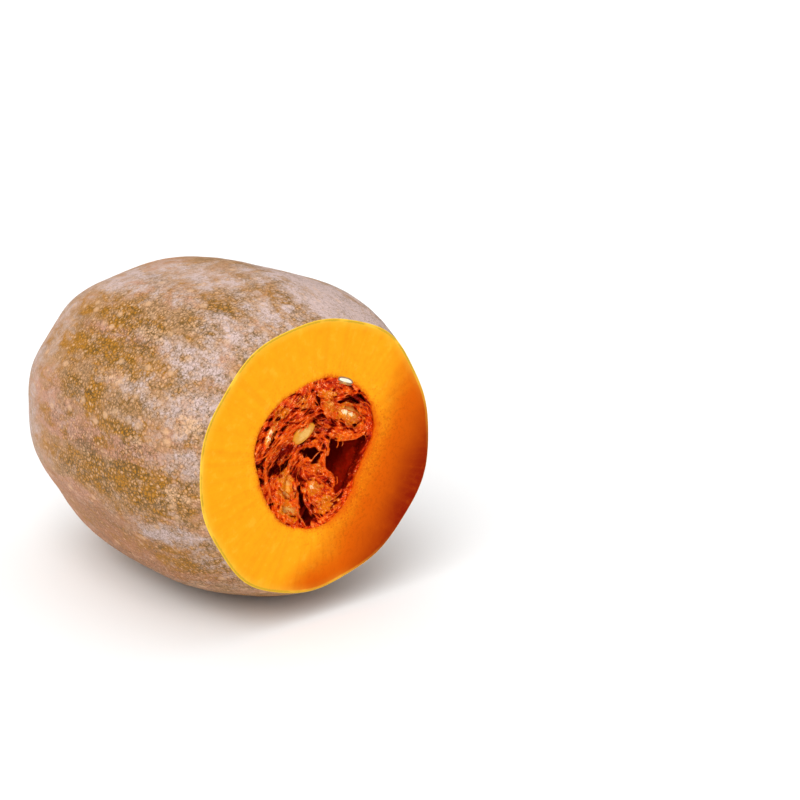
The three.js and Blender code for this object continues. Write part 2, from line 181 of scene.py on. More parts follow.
FIBRE_REACH = 36  # how far from the cavity's middle they start
TUBE_SIDES = 5

WALL_CORDS = [20, 66, 112, 158, 204, 250, 296]
CORD_RADIUS = 1.7
CORD_DEPTHS = [6, 24, 46, 70, 94, 116]
CORD_REACH = 0.8
CORD_PODS = [30, 62]
CORD_POD_SIZE = (17, 11, 7)
CORD_END = (124, 0, 0)
DEEP_STRANDS = 70
FRONT_SEARCH = 14  # how deep loose threads look for pulp to lie on

# ---- looks of the skin

# Patches of the skin: arc from the cut, angle, length, width (mm) and strength.
SKIN_PATCHES = {}
SKIN_PATCHES["ochre"] = [
    (58, 185, 100, 15, 1), (38, 182, 46, 13, 1.1), (45, 193, 80, 14, 0.6), (76, 157, 15, 20, 1.1),
    (48, 166, 40, 8, 0.8), (92, 143, 90, 15, 0.8), (62, 147, 50, 9, 0.6), (82, 130, 80, 10, 0.7),
    (100, 127, 70, 8, 0.5), (36, 113, 30, 8, 0.6), (12, 93, 26, 10, 0.8), (38, 124, 30, 8, 0.4),
    (24, 218, 44, 14, 0.9), (34, 210, 36, 12, 0.5), (92, 158, 44, 14, 0.4), (112, 186, 50, 12, 0.4),
    (60, 98, 30, 8, 0.3), (20, 142, 14, 8, 0.4), (28, 176, 24, 8, 0.4), (16, 206, 40, 10, 0.5),
]
SKIN_PATCHES["rust"] = [
    (90, 212, 150, 40, 1), (60, 222, 110, 26, 0.9), (112, 199, 70, 14, 0.5), (88, 204, 70, 14, 0.5),
    (70, 175, 90, 12, 0.5), (85, 150, 60, 12, 0.3), (60, 136, 70, 8, 0.3),
]
SKIN_PATCHES["mauve"] = [
    (10, 152, 40, 30, 0.95), (20, 136, 40, 18, 1.1), (8, 172, 30, 16, 0.75), (46, 152, 32, 12, 0.8),
    (72, 152, 14, 6, 0.4), (28, 203, 42, 14, 1), (10, 216, 20, 20, 0.7), (14, 120, 44, 22, 1),
    (16, 104, 44, 14, 0.9), (25, 70, 110, 60, 1.35), (75, 102, 110, 28, 0.9), (60, 115, 60, 16, 0.5),
    (38, 134, 30, 12, 0.8), (58, 133, 34, 9, 0.5), (60, 91, 60, 14, 0.5), (112, 110, 90, 34, 0.9),
    (150, 145, 50, 90, 0.65), (150, 180, 50, 50, 0.75), (36, 162, 26, 7, 0.55), (112, 168, 50, 8, 0.4),
    (128, 138, 30, 16, 0.4),
]
SKIN_PATCHES["peach"] = [
    (9, 158, 18, 10, 0.9), (12, 185, 18, 9, 0.9), (55, 186, 9, 6, 0.7), (34, 124, 10, 8, 0.5),
    (56, 160, 12, 7, 0.6), (40, 168, 14, 6, 0.5), (100, 141, 14, 6, 0.5), (60, 127, 16, 7, 0.5),
    (78, 190, 14, 6, 0.5), (36, 183, 10, 5, 0.4), (30, 144, 12, 7, 0.4), (60, 150, 40, 8, 0.45),
    (58, 132, 26, 10, 0.8), (36, 152, 24, 7, 0.4),
]
SKIN_PATCHES["salmon"] = [
    (85, 173, 150, 12, 1.6), (60, 175, 60, 7, 0.8), (78, 136, 90, 7, 1.1), (124, 168, 60, 30, 1),
    (70, 115, 150, 14, 0.3), (110, 98, 90, 20, 0.4), (40, 198, 60, 10, 0.4), (100, 197, 70, 12, 0.7),
    (50, 90, 60, 30, 0.3), (10, 150, 20, 80, 0.5),
]
SKIN_PATCHES["calm"] = [
    (100, 212, 130, 50, 0.4), (95, 98, 130, 44, 0.55), (30, 72, 120, 44, 0.5),
]

# More of them on the sides that the lists leave bare: their count, the seed of their places, and
# their least and largest width.
UNSEEN_PATCHES = {
    "ochre": (26, 51, 8, 20), "rust": (8, 55, 20, 44), "mauve": (18, 52, 14, 34),
    "peach": (9, 53, 6, 11), "salmon": (9, 54, 14, 40), "calm": (4, 66, 40, 46),
}
UNSEEN_ANGLES = (-112, 55)
PATCH_RAGS = [(0.32, 7, 41), (0.22, 3, 42)]  # strength, size and seed of the noise at their edges
CALM_ARCS = (85, 135)  # where the blossom end's skin grows calmer

AROUND = 440  # points around the squash
TURN = np.linspace(0, 2 * np.pi, AROUND, endpoint=False)  # and their angles
EDGE_ARCS = (0.25, 0.6, 1.1, 1.8, 2.8)  # rings of points close to the cut
SCAR_ARC = 15  # how long the finer rings around the scar are
RIM_ROUNDING = 0.22  # of the knife's edge between skin and cut, and of the mouth's
COURSE_SIZE = (0.42, 70)  # how the skin's pattern is drawn out along the squash, and its girth

RIPE_AND_SHADE_WAY = (0.866, -0.5)  # the way across the cut in which the flesh gets riper and darker, partly painted shade
RIPE_AND_SHADE_FROM = 15  # how far that way it starts to be riper and shaded
RIPE_AND_SHADE_OVER = 46  # and over what distance it comes to its ripest and most shaded
LOWEST_RIPE_AND_SHADE = 15  # how much riper and more shaded the lowest flesh is, as a distance that way
FAR = 30.0  # stands for a place with no skin or mouth near it


# ---- settings


def length_setting(name, description, default):
    """A length in metres."""
    return FloatProperty(
        name=name, description=description, default=default, min=0, subtype="DISTANCE", unit="LENGTH"
    )


def angle_setting(name, description, default):
    """An angle, whose default is given in degrees."""
    return FloatProperty(
        name=name, description=description, default=math.radians(default), subtype="ANGLE", unit="ROTATION"
    )


def colour_setting(name, description, default):
    """A colour, whose default is given as 0 to 255."""
    return FloatVectorProperty(
        name=name, description=description, default=srgb(default), size=3, min=0, max=1, subtype="COLOR"
    )


def strength_setting(name, description, default):
    """Strength of a light."""
    return FloatProperty(name=name, description=description, default=default, min=0)


def srgb(code):
    """Linear red, green and blue of a colour given as 0 to 255."""
    share = np.array(code) / 255
    linear = np.where(share <= 0.04045, share / 12.92, ((share + 0.055) / 1.055) ** 2.4)
    return tuple(float(part) for part in linear)


class RindSettings(bpy.types.PropertyGroup):
    unevenness: length_setting("Unevenness", "How deep the rind's soft hollows are", 0.0005)
    raggedness: length_setting("Mouth raggedness", "How far the mouth's edge strays", 0.0007)
    tan: colour_setting("Tan", "Ground colour of the skin", (178, 134, 92))
    salmon: colour_setting("Salmon", "Colour of the pink bands", (190, 138, 112))
    rust: colour_setting("Rust", "Colour of the smooth warm side", (177, 117, 76))
    ochre: colour_setting("Ochre", "Colour of the mottled bands", (176, 115, 6))
    moss: colour_setting("Moss", "Dark grey green grain", (84, 64, 30))
    mauve: colour_setting("Mauve", "Waxy bloom", (190, 163, 149))
    bloom: colour_setting("Bloom", "Palest waxy bloom", (200, 175, 170))
    peach: colour_setting("Peach", "Pale spots", (216, 172, 132))
    scar: colour_setting("Scar", "Cork of the blossom scar", (138, 106, 68))


class FleshSettings(bpy.types.PropertyGroup):
    flesh: colour_setting("Flesh", "Colour of the cut flesh", (250, 163, 20))
    # The ripe and ripest flesh colours are partly painted shade on the cut's darker side.
    ripe_and_shaded: colour_setting("Ripe flesh", "Deeper colour towards its ripest side", (214, 92, 1))
    ripest_and_shaded: colour_setting("Ripest flesh", "Colour at its ripest", (134, 21, 0))
    inner: colour_setting("Inner flesh", "Colour around the mouth", (212, 66, 3))
    edge: colour_setting("Edge", "Pale band under the skin", (244, 200, 70))
    green: colour_setting("Green line", "Thin line of the skin's cut edge", (164, 134, 22))
    wall: colour_setting("Cavity wall", "Colour of the cavity's wall", (222, 34, 6))


class PulpSettings(bpy.types.PropertyGroup):
    grid: length_setting("Grid", "Distance between the points that the pulp is worked out on", 0.00042)
    deep_grid: length_setting("Deep grid", "The same for the pulp deep in the cavity", 0.001)
    opening: FloatProperty(
        name="Openness", description="How open the pulp is between its fibres", default=0.2,
        min=0, max=1, subtype="FACTOR",
    )
    seed: IntProperty(name="Random seed", description="Picks other fibres of pulp", default=7, min=0)
    # Depths and valleys are partly the pulp's wet red and partly painted shade in its gaps and hollows.
    dark: colour_setting("Depths", "Colour of the deepest gaps", (120, 14, 4))
    valley_and_shade: colour_setting("Valleys", "Colour of the wet hollows", (176, 36, 6))
    middle: colour_setting("Middle", "Colour between hollows and ridges", (206, 54, 6))
    ridge: colour_setting("Ridges", "Colour of strands and ridges", (228, 80, 7))
    glow: colour_setting("Crests", "Colour of the thinnest crests", (244, 112, 20))
    gold: colour_setting("Gold", "Colour of the skin around a wrapped seed", (218, 124, 12))
    # Pale and cream are the seed shining through its film, and at their strongest places also painted
    # highlights.
    pale: colour_setting("Pale skin", "Colour of the seed that shines through", (242, 158, 56))
    cream: colour_setting("Cream", "Whitest of the pale skin", (255, 230, 184))
    # Glints are painted highlights on the wet ridges.
    glint: colour_setting("Glints", "Wet specks on the ridges", (255, 196, 140))
    deep: colour_setting("Deep pulp", "Colour of the pulp far behind the cut", (236, 38, 10))
    thread: colour_setting("Threads", "Colour of the loose threads", (224, 100, 36))


class SeedSettings(bpy.types.PropertyGroup):
    kernel: colour_setting("Kernel", "Cut kernel", (250, 240, 220))
    shell: colour_setting("Cut coat", "Cut edge of the seed coat", (142, 108, 78))
    coat: colour_setting("Seed coat", "Bare seed coat", (222, 146, 32))
    film: colour_setting("Film", "Pulp that clings to a seed", (214, 112, 30))
    cream: colour_setting("Cream", "Colour of a wrapped seed", (242, 194, 102))


class StageSettings(bpy.types.PropertyGroup):
    azimuth: angle_setting("Azimuth", "Direction that the camera stands in", 51.15)
    elevation: angle_setting("Elevation", "Camera's height above the horizon", 18.12)
    distance: length_setting("Distance", "Camera to the cut face", 0.87568)
    floor: colour_setting("Floor", "Colour of the floor", (236, 236, 236))
    key: strength_setting("Key light", "Strength of the main light", 2.1)
    top: strength_setting("Top light", "Strength of the light from above", 0.6)
    glint: strength_setting("Glint light", "Strength of the light for wet glints", 4.0)
    sky: strength_setting("Sky", "Strength of the light from all around", 0.7)


# ---- shapes


def waves(terms, angle):
    """Sum of height * cos(count * (angle - at)) over terms of (count, height, at in degrees)."""
    return sum(height * np.cos(count * (angle - math.radians(at))) for count, height, at in terms)


def swelling_radius(depth, cut, belly, belly_depth, end, power, bluntness):
    """Radius that swells from the cut to a belly and then closes.

    Before the belly: belly - (belly - cut) * (1 - depth / belly_depth) ** 2. After it:
    belly * (1 - along ** power) ** (1 / bluntness), with along from 0 at the belly to 1.
    """
    along = np.clip((depth - belly_depth) / (end - belly_depth), 0, 1)
    before = belly - (belly - cut) * (1 - depth / belly_depth) ** 2
    after = belly * (1 - along**power) ** (1 / bluntness)
    return np.where(depth <= belly_depth, before, after)


def smooth(low, high, value):
    """0 below low, 1 above high, and 3t^2 - 2t^3 between."""
    share = np.clip((value - low) / (high - low), 0, 1)
    return share * share * (3 - 2 * share)


def lumps(points, size, seed):
    """Smooth noise from -1 to 1 with lumps about `size` across.

    Seeded random numbers stand on a cubic lattice of that size, and a point blends the eight
    around it by 3t^2 - 2t^3 of its place between them.
    """
    count = 32
    lattice = np.random.default_rng(seed).uniform(-1, 1, (count,) * 3).astype(np.float32)
    scaled = points / np.array(size)
    cell = np.floor(scaled).astype(int)
    share = (scaled - cell).astype(np.float32)
    share = share * share * (3 - 2 * share)
    total = 0
    for corner in np.ndindex(2, 2, 2):
        weight = 1
        for axis in range(3):
            weight = weight * (share[..., axis] if corner[axis] else 1 - share[..., axis])
        index = (cell + corner) % count
        total = total + weight * lattice[index[..., 0], index[..., 1], index[..., 2]]
    return total


def rind_radius(depth, radius, angle):
    """The radius with its lobes and ribs, which fade where it closes on the blossom end."""
    swell = RIB_HEIGHT + RIB_SWELL * np.sin(np.pi * depth / LENGTH)
    ribs = swell * np.cos(RIB_COUNT * (angle - math.radians(RIB_AT)))
    fade = np.minimum(radius / CUT_RADIUS, 1) ** 1.5
    return radius + fade * (waves(LOBES, angle) + ribs)


def around_centre_line(depth, radius, angle, x=None):
    """Points at a radius and angle about the centre line, which curves by the depth squared."""
    x = -depth if x is None else x
    y = BEND_Y * depth**2 + radius * np.cos(angle)
    z = BEND_Z * depth + radius * np.sin(angle)
    return np.stack(np.broadcast_arrays(x, y, z), -1)


def rolled(along, around, angle):
    """Points at an angle on a cylinder `around` wide, where noise closes on itself."""
    return np.stack(np.broadcast_arrays(along, around * np.cos(angle), around * np.sin(angle)), -1)


def cavity_radius(depth, angle):
    """The cavity's radius: a swelling curve with the mouth's waves and the wall's ridges."""
    mean = swelling_radius(
        depth, CAVITY_MOUTH, CAVITY_BELLY, CAVITY_BELLY_DEPTH, CAVITY_DEPTH, CAVITY_POWER, 2
    )
    fade = np.minimum(mean / CAVITY_MOUTH, 1)
    mouth = waves(MOUTH_WAVES, angle) * fade * (1 - 0.6 * depth / CAVITY_DEPTH)
    grown = np.clip(depth / WALL_RIDGE_START, 0, 1) * fade
    return np.maximum(mean + mouth + grown * waves(WALL_RIDGES, angle), 0)


def meridian():
    """Depth and radius of the rind along its outline, with the arc from the cut, finely stepped."""
    front = np.linspace(0, BELLY_DEPTH, 400)
    turn = np.linspace(0, np.pi / 2, 1600)[1:]
    taper = BELLY_RADIUS * np.cos(turn) ** (2 / BLUNTNESS)
    along = (1 - (taper / BELLY_RADIUS) ** BLUNTNESS) ** (1 / TAPER_POWER)
    swell = swelling_radius(
        front, CUT_RADIUS, BELLY_RADIUS, BELLY_DEPTH, LENGTH, TAPER_POWER, BLUNTNESS
    )
    depth = np.concatenate([front, BELLY_DEPTH + along * (LENGTH - BELLY_DEPTH)])
    radius = np.concatenate([swell, taper])
    arc = np.concatenate([[0], np.cumsum(np.hypot(np.diff(depth), np.diff(radius)))])
    return arc, depth, radius


def face_centre():
    """Middle of the cut face in the frame: the rind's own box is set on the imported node's."""
    low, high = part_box("squash_half")
    _, depth, radius = meridian()
    outline = rind_radius(depth[:, None], radius[:, None], TURN)
    points = around_centre_line(depth[:, None], outline, TURN)
    across = (points[..., 1].min() + points[..., 1].max()) / 2
    middle = (low.y + high.y) / 2 / MM
    return np.array([high.x / MM, middle - across, high.z / MM - points[..., 2].max()])


FACE_CENTRE = face_centre()


def placed(points):
    """Points from the cut face's middle in millimetres, set in the frame in metres."""
    return (points + FACE_CENTRE) * MM


# ---- meshes


def add_object(name, data):
    """A new object in the scene."""
    made = bpy.data.objects.new(name, data)
    bpy.context.scene.collection.objects.link(made)
    return made


def make_piece(name, points, faces, materials, nodes, tints=None, face_material=None):
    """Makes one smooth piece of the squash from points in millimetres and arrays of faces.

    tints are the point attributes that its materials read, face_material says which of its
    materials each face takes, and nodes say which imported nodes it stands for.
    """
    mesh = bpy.data.meshes.new(name)
    mesh.vertices.add(len(points))
    mesh.vertices.foreach_set("co", placed(points).astype(np.float32).ravel())
    sizes = np.concatenate([np.full(len(part), part.shape[1]) for part in faces])
    corners = np.concatenate([part.ravel() for part in faces])
    mesh.loops.add(len(corners))
    mesh.loops.foreach_set("vertex_index", corners.astype(np.int32))
    mesh.polygons.add(len(sizes))
    starts = np.concatenate([[0], np.cumsum(sizes)[:-1]])
    mesh.polygons.foreach_set("loop_start", starts.astype(np.int32))
    if face_material is not None:
        mesh.polygons.foreach_set("material_index", face_material.astype(np.int32))
    mesh.update(calc_edges=True)
    if mesh.validate():
        raise RuntimeError(f"{name} has faces that do not hold together")
    mesh.shade_smooth()
    for label, values in (tints or {}).items():
        kind, field = ("FLOAT_VECTOR", "vector") if values.ndim == 2 else ("FLOAT", "value")
        layer = mesh.attributes.new(label, kind, "POINT")
        layer.data.foreach_set(field, values.astype(np.float32).ravel())
    for material in materials:
        mesh.materials.append(material)
    piece = add_object(name, mesh)
    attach(piece, "root")
    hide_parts(*nodes)
    return piece


def ring_faces(rows, around, flipped=False):
    """Quads between rings of equal counts that follow each other in a point array."""
    row, step = np.meshgrid(np.arange(rows - 1), np.arange(around), indexing="ij")
    after = (step + 1) % around
    here, there = row * around, (row + 1) * around
    quads = np.stack([here + step, there + step, there + after, here + after], -1).reshape(-1, 4)
    return quads[:, ::-1] if flipped else quads


def smooth_path(points, steps):
    """Points of a Catmull-Rom curve: each stretch is a cubic through its two ends, and its
    slope at an end is half the way from the point before to the point after."""
    points = np.array(points, float)
    padded = np.vstack([2 * points[0] - points[1], points, 2 * points[-1] - points[-2]])
    at = np.linspace(0, len(points) - 1, steps)
    stretch = np.minimum(at.astype(int), len(points) - 2)
    t = (at - stretch)[:, None]
    a, b, c, d = (padded[stretch + offset] for offset in range(4))
    curve = 2 * b + (c - a) * t + (2 * a - 5 * b + 4 * c - d) * t**2 + (3 * b - a - 3 * c + d) * t**3
    return 0.5 * curve


def behind_cut(path):
    """Turns (depth, y, z) into (x, y, z)."""
    return np.array(path, float) * (-1, 1, 1)


def egg_axes(lean, dip, roll):
    """Axes of a thing whose length leans in the plane of the cut, dips away and is rolled."""
    turn, slope, twist = (math.radians(value) for value in (lean, dip, roll))
    along = np.array([
        -math.sin(slope), math.cos(turn) * math.cos(slope), math.sin(turn) * math.cos(slope)
    ])
    side = np.array([0, -math.sin(turn), math.cos(turn)])
    side = side * math.cos(twist) + np.cross(along, side) * math.sin(twist) + along * (
        along @ side) * (1 - math.cos(twist))
    up = np.cross(along, side)
    return np.array([along, side, up])


# ---- pulp as a distance field


EMPTY = 50  # distance where no pulp is near


class Field:
    """Signed distances on a grid, negative inside. What is grown together is blended in it."""

    def __init__(self, low, high, step):
        self.low = np.array(low, float)
        self.step = step
        self.shape = tuple(int(round((b - a) / step)) + 1 for a, b in zip(low, high))
        self.distance = np.full(self.shape, EMPTY, np.float32)

    def window(self, low, high):
        """Slices and points of the part of the grid between two corners."""
        first = np.clip(np.floor((np.array(low) - self.low) / self.step), 0, self.shape).astype(int)
        last = np.clip(np.ceil((np.array(high) - self.low) / self.step) + 1, 0, self.shape).astype(int)
        slices = tuple(slice(a, b) for a, b in zip(first, last))
        axes = [self.low[i] + self.step * np.arange(first[i], last[i]) for i in range(3)]
        return slices, np.stack(np.meshgrid(*axes, indexing="ij"), -1).astype(np.float32)

    def whole(self):
        """Slices and points of the whole grid."""
        return self.window(self.low, self.low + self.step * np.array(self.shape))

    def join(self, slices, distance, softness, side=1):
        """Smooth union: the smaller distance, less softness * share * (1 - share) where both
        are near, with share the part that the new one takes."""
        held = side * self.distance[slices]
        share = np.clip(0.5 + (held - distance) / (2 * softness), 0, 1)
        joined = held + (distance - held) * share - softness * share * (1 - share)
        self.distance[slices] = side * joined

    def carve(self, slices, distance, softness):
        """Smooth cut: joins the given distance to what is empty."""
        self.join(slices, distance, softness, -1)

    def add_strand(self, path, radii, softness):
        """A cord along a path: the distance to the nearest point of its axis, less its radius."""
        reach = max(radii) + 2 * softness + 2 * self.step
        slices, points = self.window(path.min(0) - reach, path.max(0) + reach)
        if 0 in points.shape:
            return
        nearest = np.full(points.shape[:3], EMPTY, np.float32)
        for start, end, r0, r1 in zip(path[:-1], path[1:], radii[:-1], radii[1:]):
            way = end - start
            share = np.clip((points - start) @ way / max(way @ way, 1e-9), 0, 1)
            gap = np.linalg.norm(points - start - share[..., None] * way, axis=-1)
            nearest = np.minimum(nearest, gap - (r0 + (r1 - r0) * share))
        self.join(slices, nearest, softness)

    def add_pod(self, middle, size, axes, softness):
        """A wrapped seed: an ellipsoid."""
        reach = max(size) / 2 + 2 * softness + 1
        slices, points = self.window(middle - reach, middle + reach)
        self.join(slices, egg_gap(points, middle, size, axes), softness)

    def slab(self, first, last):
        """The field between two places across y, a step longer than they are apart, so that it
        laps over the next one."""
        a, b = np.rint((np.array([first, last]) - self.low[1]) / self.step).astype(int)
        a, b = max(a, 0), min(b + 2, self.shape[1])
        low = self.low + (0, a * self.step, 0)
        size = np.array([self.shape[0], b - a, self.shape[2]]) - 1
        part = Field(low, low + size * self.step, self.step)
        part.distance[:] = self.distance[:, a:b]
        return part

    def crowding(self, reach):
        """Share of the pulp in a cube of 2 * reach + 1 points a side around each point."""
        total = (self.distance < 0).astype(np.float32)
        wide = 2 * reach + 1
        for _ in range(3):
            padded = np.pad(total, [(reach + 1, reach), (0, 0), (0, 0)], mode="edge")
            sums = np.cumsum(padded, 0, dtype=np.float64)
            total = np.moveaxis((sums[wide:] - sums[:-wide]) / wide, 0, -1)
        return total.astype(np.float32)


def surface_net(field):
    """Closed mesh of the zero level of a field.

    Each cell whose corners differ in sign has one point, at the mean of the places where the
    sign changes along its edges. Each grid edge that changes sign has a quad of the four
    cells around it.
    """
    value = np.pad(field.distance, 1, constant_values=EMPTY)
    inside = value < 0
    shape = np.array(value.shape) - 1

    def corner(array, offset):
        return array[tuple(slice(o, o + n) for o, n in zip(offset, shape))]

    counts = sum(corner(inside, offset).astype(np.int8) for offset in np.ndindex(2, 2, 2))
    mixed = (counts > 0) & (counts < 8)
    cells = np.argwhere(mixed)
    number = np.full(shape, -1, np.int64)
    number[mixed] = np.arange(len(cells))
    total = np.zeros((len(cells), 3))
    crossings = np.zeros(len(cells))
    steps = np.eye(3, dtype=int)
    for axis in range(3):
        for offset in np.ndindex(2, 2, 2):
            if offset[axis]:
                continue
            a, b = corner(value, offset)[mixed], corner(value, offset + steps[axis])[mixed]
            crossed = (a < 0) != (b < 0)
            share = np.where(crossed, a / np.where(crossed, a - b, 1), 0)
            total += (offset + share[:, None] * steps[axis]) * crossed[:, None]
            crossings += crossed
    points = field.low + field.step * (cells + total / crossings[:, None] - 1)
    quads = []
    for axis in range(3):
        one, two = np.delete(steps, axis, 0)
        a, b = corner(inside, one + two), corner(inside, (1, 1, 1))
        for rising in (True, False):
            edge = np.argwhere((a == rising) & (b != rising)) + one + two
            around = [edge - i * one - j * two for i, j in ((1, 1), (0, 1), (0, 0), (1, 0))]
            quad = np.stack([number[tuple(cell.T)] for cell in around], -1)
            outward = rising == (axis != 1)
            quads.append(quad if outward else quad[:, ::-1])
    return points, np.concatenate(quads)


def largest_island(points, quads):
    """The largest connected piece of a mesh, without the crumbs. Every point takes the lowest
    number among the quads around it, again and again until none changes: points that then
    carry the same number hang together."""
    label = np.arange(len(points))
    while True:
        spread = label.copy()
        np.minimum.at(spread, quads, label[quads].min(1)[:, None])
        spread = spread[spread]
        if (spread == label).all():
            break
        label = spread
    kept = label == np.bincount(label).argmax()
    number = np.cumsum(kept) - 1
    return points[kept], number[quads[kept[quads[:, 0]]]]


def read_at(field, array, points):
    """Values of a field's array at the grid points nearest to the given points."""
    index = np.rint((points - field.low) / field.step).astype(int)
    index = np.clip(index, 0, np.array(field.shape) - 1)
    return array[tuple(index.T)]


def wall_gap(points):
    """How far inside the cavity's wall a point is, measured across the squash."""
    depth = np.clip(-points[..., 0], 0, CAVITY_DEPTH)
    y = points[..., 1] - BEND_Y * depth**2
    z = points[..., 2] - BEND_Z * depth
    return cavity_radius(depth, np.arctan2(z, y)) - np.hypot(y, z)


# ---- the pulp that shows in the mouth

# Places in these lists are (y, z) in the cut face, where things show from the front left and a
# little above. What lies deeper stands further off along that line of sight.
SIGHT = (0.805, -0.42)  # how far off, by the depth

PULP_DEPTHS = [  # y, z and depth of the front of the pulp
    (-21, 26, 2), (-12, 31, 1.7), (-4, 33, 1.9), (5, 33, 1.8), (13, 30, 2.2), (19, 29, 2.6),
    (24, 28, 2.4), (-27, 21, 2.6), (-29, 15, 3), (-32, 10, 2.6), (-17, 21, 2.8), (-10, 24, 2.3),
    (-10, 20, 2.4), (-4, 23, 5), (-1, 20, 6.5), (2, 16, 7.5), (-1, 13, 8), (4, 11, 7), (7, 15, 6.5),
    (4, 25, 2.8), (7, 21, 3.6), (9, 17, 4.6), (14, 19, 4.2), (19, 17, 4.2), (24, 16, 4.4), (21, 22, 5),
    (27, 17, 4.2), (30, 11, 2.9), (30.5, 5, 2.9), (28, 3, 3.6), (12, 12, 5.5), (20, 12, 5.4),
    (14, 7.5, 4.2), (21, 6.5, 3.8), (26, 8, 4), (8, 9, 5), (8, 6, 5), (-24, 11, 3.2), (-19, 14, 3),
    (-14, 16.5, 2.8), (-14, 10, 4.4), (-20, 8, 6.5), (-24, 6, 7), (-28, 5, 4), (-33, 6, 4), (-16, 4, 6),
    (-10, 8.5, 6.5), (-4, 8, 6), (0, 8, 5.5), (-13, 1, 4), (-17, -3, 4), (-9, 1, 5.5), (-7, -1, 5.5),
    (-12, -3, 8), (-13, -7, 9.5), (-15, -5, 8), (-9, -9, 7), (-5, -4, 4.4), (0, -5, 4.6), (-3, -8, 4),
    (3, -10, 4.2), (8, -13, 4), (2, 0, 5.2), (4, 3, 5), (4.5, -14, 7), (-5, -13.5, 3.6), (-1, -15, 3.8),
    (2, -18, 4.2), (-8, -17, 6), (-5, -22, 5.5), (0, -22, 4.6), (5, -24, 4.4), (7, -28, 3.6),
    (3, -32, 2.6), (-2, -28, 5.5), (-6, -27, 9), (-4, -33, 3), (11, -20, 6.5), (15, -20, 4.2),
    (17, -23, 3), (13, -26, 3), (19, -15, 4.6), (8, -19, 5.5), (-27, -1, 6), (-25, -6, 4.6), (-21, -8, 4),
    (-18, -11, 3.8), (-24, -12, 4.2), (-28, -8, 3.2), (-28, -15, 3.4), (-20, -18, 4), (-24, -19, 2.6),
    (-18, -23, 3.6), (-15, -19, 4.8), (-15, -27, 3.2), (-13, -31, 2.2), (-18, -29, 1.8),
]
PULP_FIBRES = [  # y, z and the direction of the fibres in degrees
    (-25, 22, 50), (-15, 30, 20), (-5, 31, 75), (5, 31, -20), (15, 29, -20), (22, 27, -40), (-12, 24, 20),
    (-22, 12, 33), (-12, 18, 27), (-30, 12, 60), (-20, 7, 20), (-14, 2, 55), (-17, -2, 50), (-31, 2, 75),
    (-30, -6, 90), (0, 20, -25), (5, 24, -35), (9, 18, -55), (2, 14, -35), (15, 19, -30), (22, 20, -30),
    (28, 18, -50), (31, 10, -80), (30, 3, -95), (15, 12, -20), (10, 8, -15), (20, 6, -3), (27, 7, 25),
    (0, 4, -50), (-5, -5, -20), (3, -9, -25), (8, -13, -35), (5, -14, -60), (-3, -14, -30),
    (-8, -18, -55), (2, -20, -40), (5, -26, 0), (-3, -26, -50), (-6, -30, -60), (14, -22, 40),
    (18, -17, 60), (-22, -9, -80), (-18, -14, -75), (-26, -14, -60), (-22, -19, -35), (-17, -24, -45),
    (-14, -30, -40), (-12, -8, -60), (-12, -15, -80), (-27, -3, 5),
]
PULP_OPENNESS = [  # y, z and how open it is between its fibres
    (-20, 26, 0.18), (-8, 31, 0.15), (8, 31, 0.12), (2, 22, 0.35), (1, 15, 0.75), (5, 11, 0.6),
    (-2, 9, 0.75), (-10, 9, 0.4), (15, 19, 0.05), (13, 12, 0.35), (22, 11, 0.3), (18, 6.5, 0.1),
    (29, 10, 0.2), (-20, 14, 0.15), (-22, 7, 0.15), (-13, 2, 0.4), (-29, 0, 0.5), (-4, -5, 0.1),
    (3, -10, 0.15), (4.5, -14, 0.5), (-4, -15, 0), (2, -20, 0.15), (5, -26, 0.3), (-5, -24, 0.35),
    (-13, -8, 0.3), (-20, -10, 0.08), (-26, -15, 0.35), (-20, -21, 0.2), (-14, -29, 0.3), (14, -22, 0.3),
    (2, 3, 0.8), (-31, 16, 0.3), (-25, 20, 0.4),
]

# Blots of colour, the red ones partly the pulp's own red and partly painted shade on the mouth's right and
# lower side, the pale ones partly painted highlights: y, z, half length, half width, lean in degrees and
# strength.
RED_AND_SHADE_PLACES = [
    (-13, -6.5, 6, 3, -45, 1), (-20, 6.5, 8, 2.6, 20, 0.9), (-26, -4.5, 5, 1.2, 0, 0.6),
    (0, 20, 5, 1.6, -10, 0.9), (-5, 23, 3, 1.6, 0, 0.8), (0, 14.5, 4, 2.6, -20, 0.9),
    (4, 12, 3, 2, -20, 0.6), (8, 15.5, 4, 1.2, -40, 0.7), (14, 13.6, 4, 1, -35, 0.6),
    (21, 11, 3, 1.5, -15, 0.7), (-9, 8, 4, 1.3, 0, 0.9), (-6, -26, 7, 2, -65, 1),
    (4.5, -13.5, 4, 1.6, -35, 0.9), (-5, -22.8, 2.5, 1.4, -30, 0.7), (-17, 20.5, 4, 0.8, -10, 0.7),
    (-11, 31, 3, 2, 60, 0.6), (-16, 33, 2, 1.4, 60, 0.4), (-23, 24, 2.4, 1.4, 30, 0.8),
    (-28, -17, 2, 1.2, 0, 0.6), (24, 27.5, 1.6, 1, 0, 0.7), (11, -20, 4, 1.6, -10, 0.9),
    (19, -16, 3, 3, 0, 0.6), (-12, -30, 4, 1.6, -40, 0.6), (1, -33.4, 4, 0.8, -10, 0.5),
    (-18.5, 1.5, 2.4, 1.6, 60, 0.9), (-30, 20, 2.4, 1.4, 20, 0.7), (-14, 22.4, 5, 1, 5, 0.6),
    (23, 22.6, 5, 1.2, -25, 0.7), (8, 35, 5, 1.2, -5, 0.5), (31, 8, 16, 4, -88, 0.45),
    (12, -24, 11, 6, 25, 0.4), (1, -12, 7, 5, -30, 0.4), (19, -19, 6, 5, 50, 0.3),
]
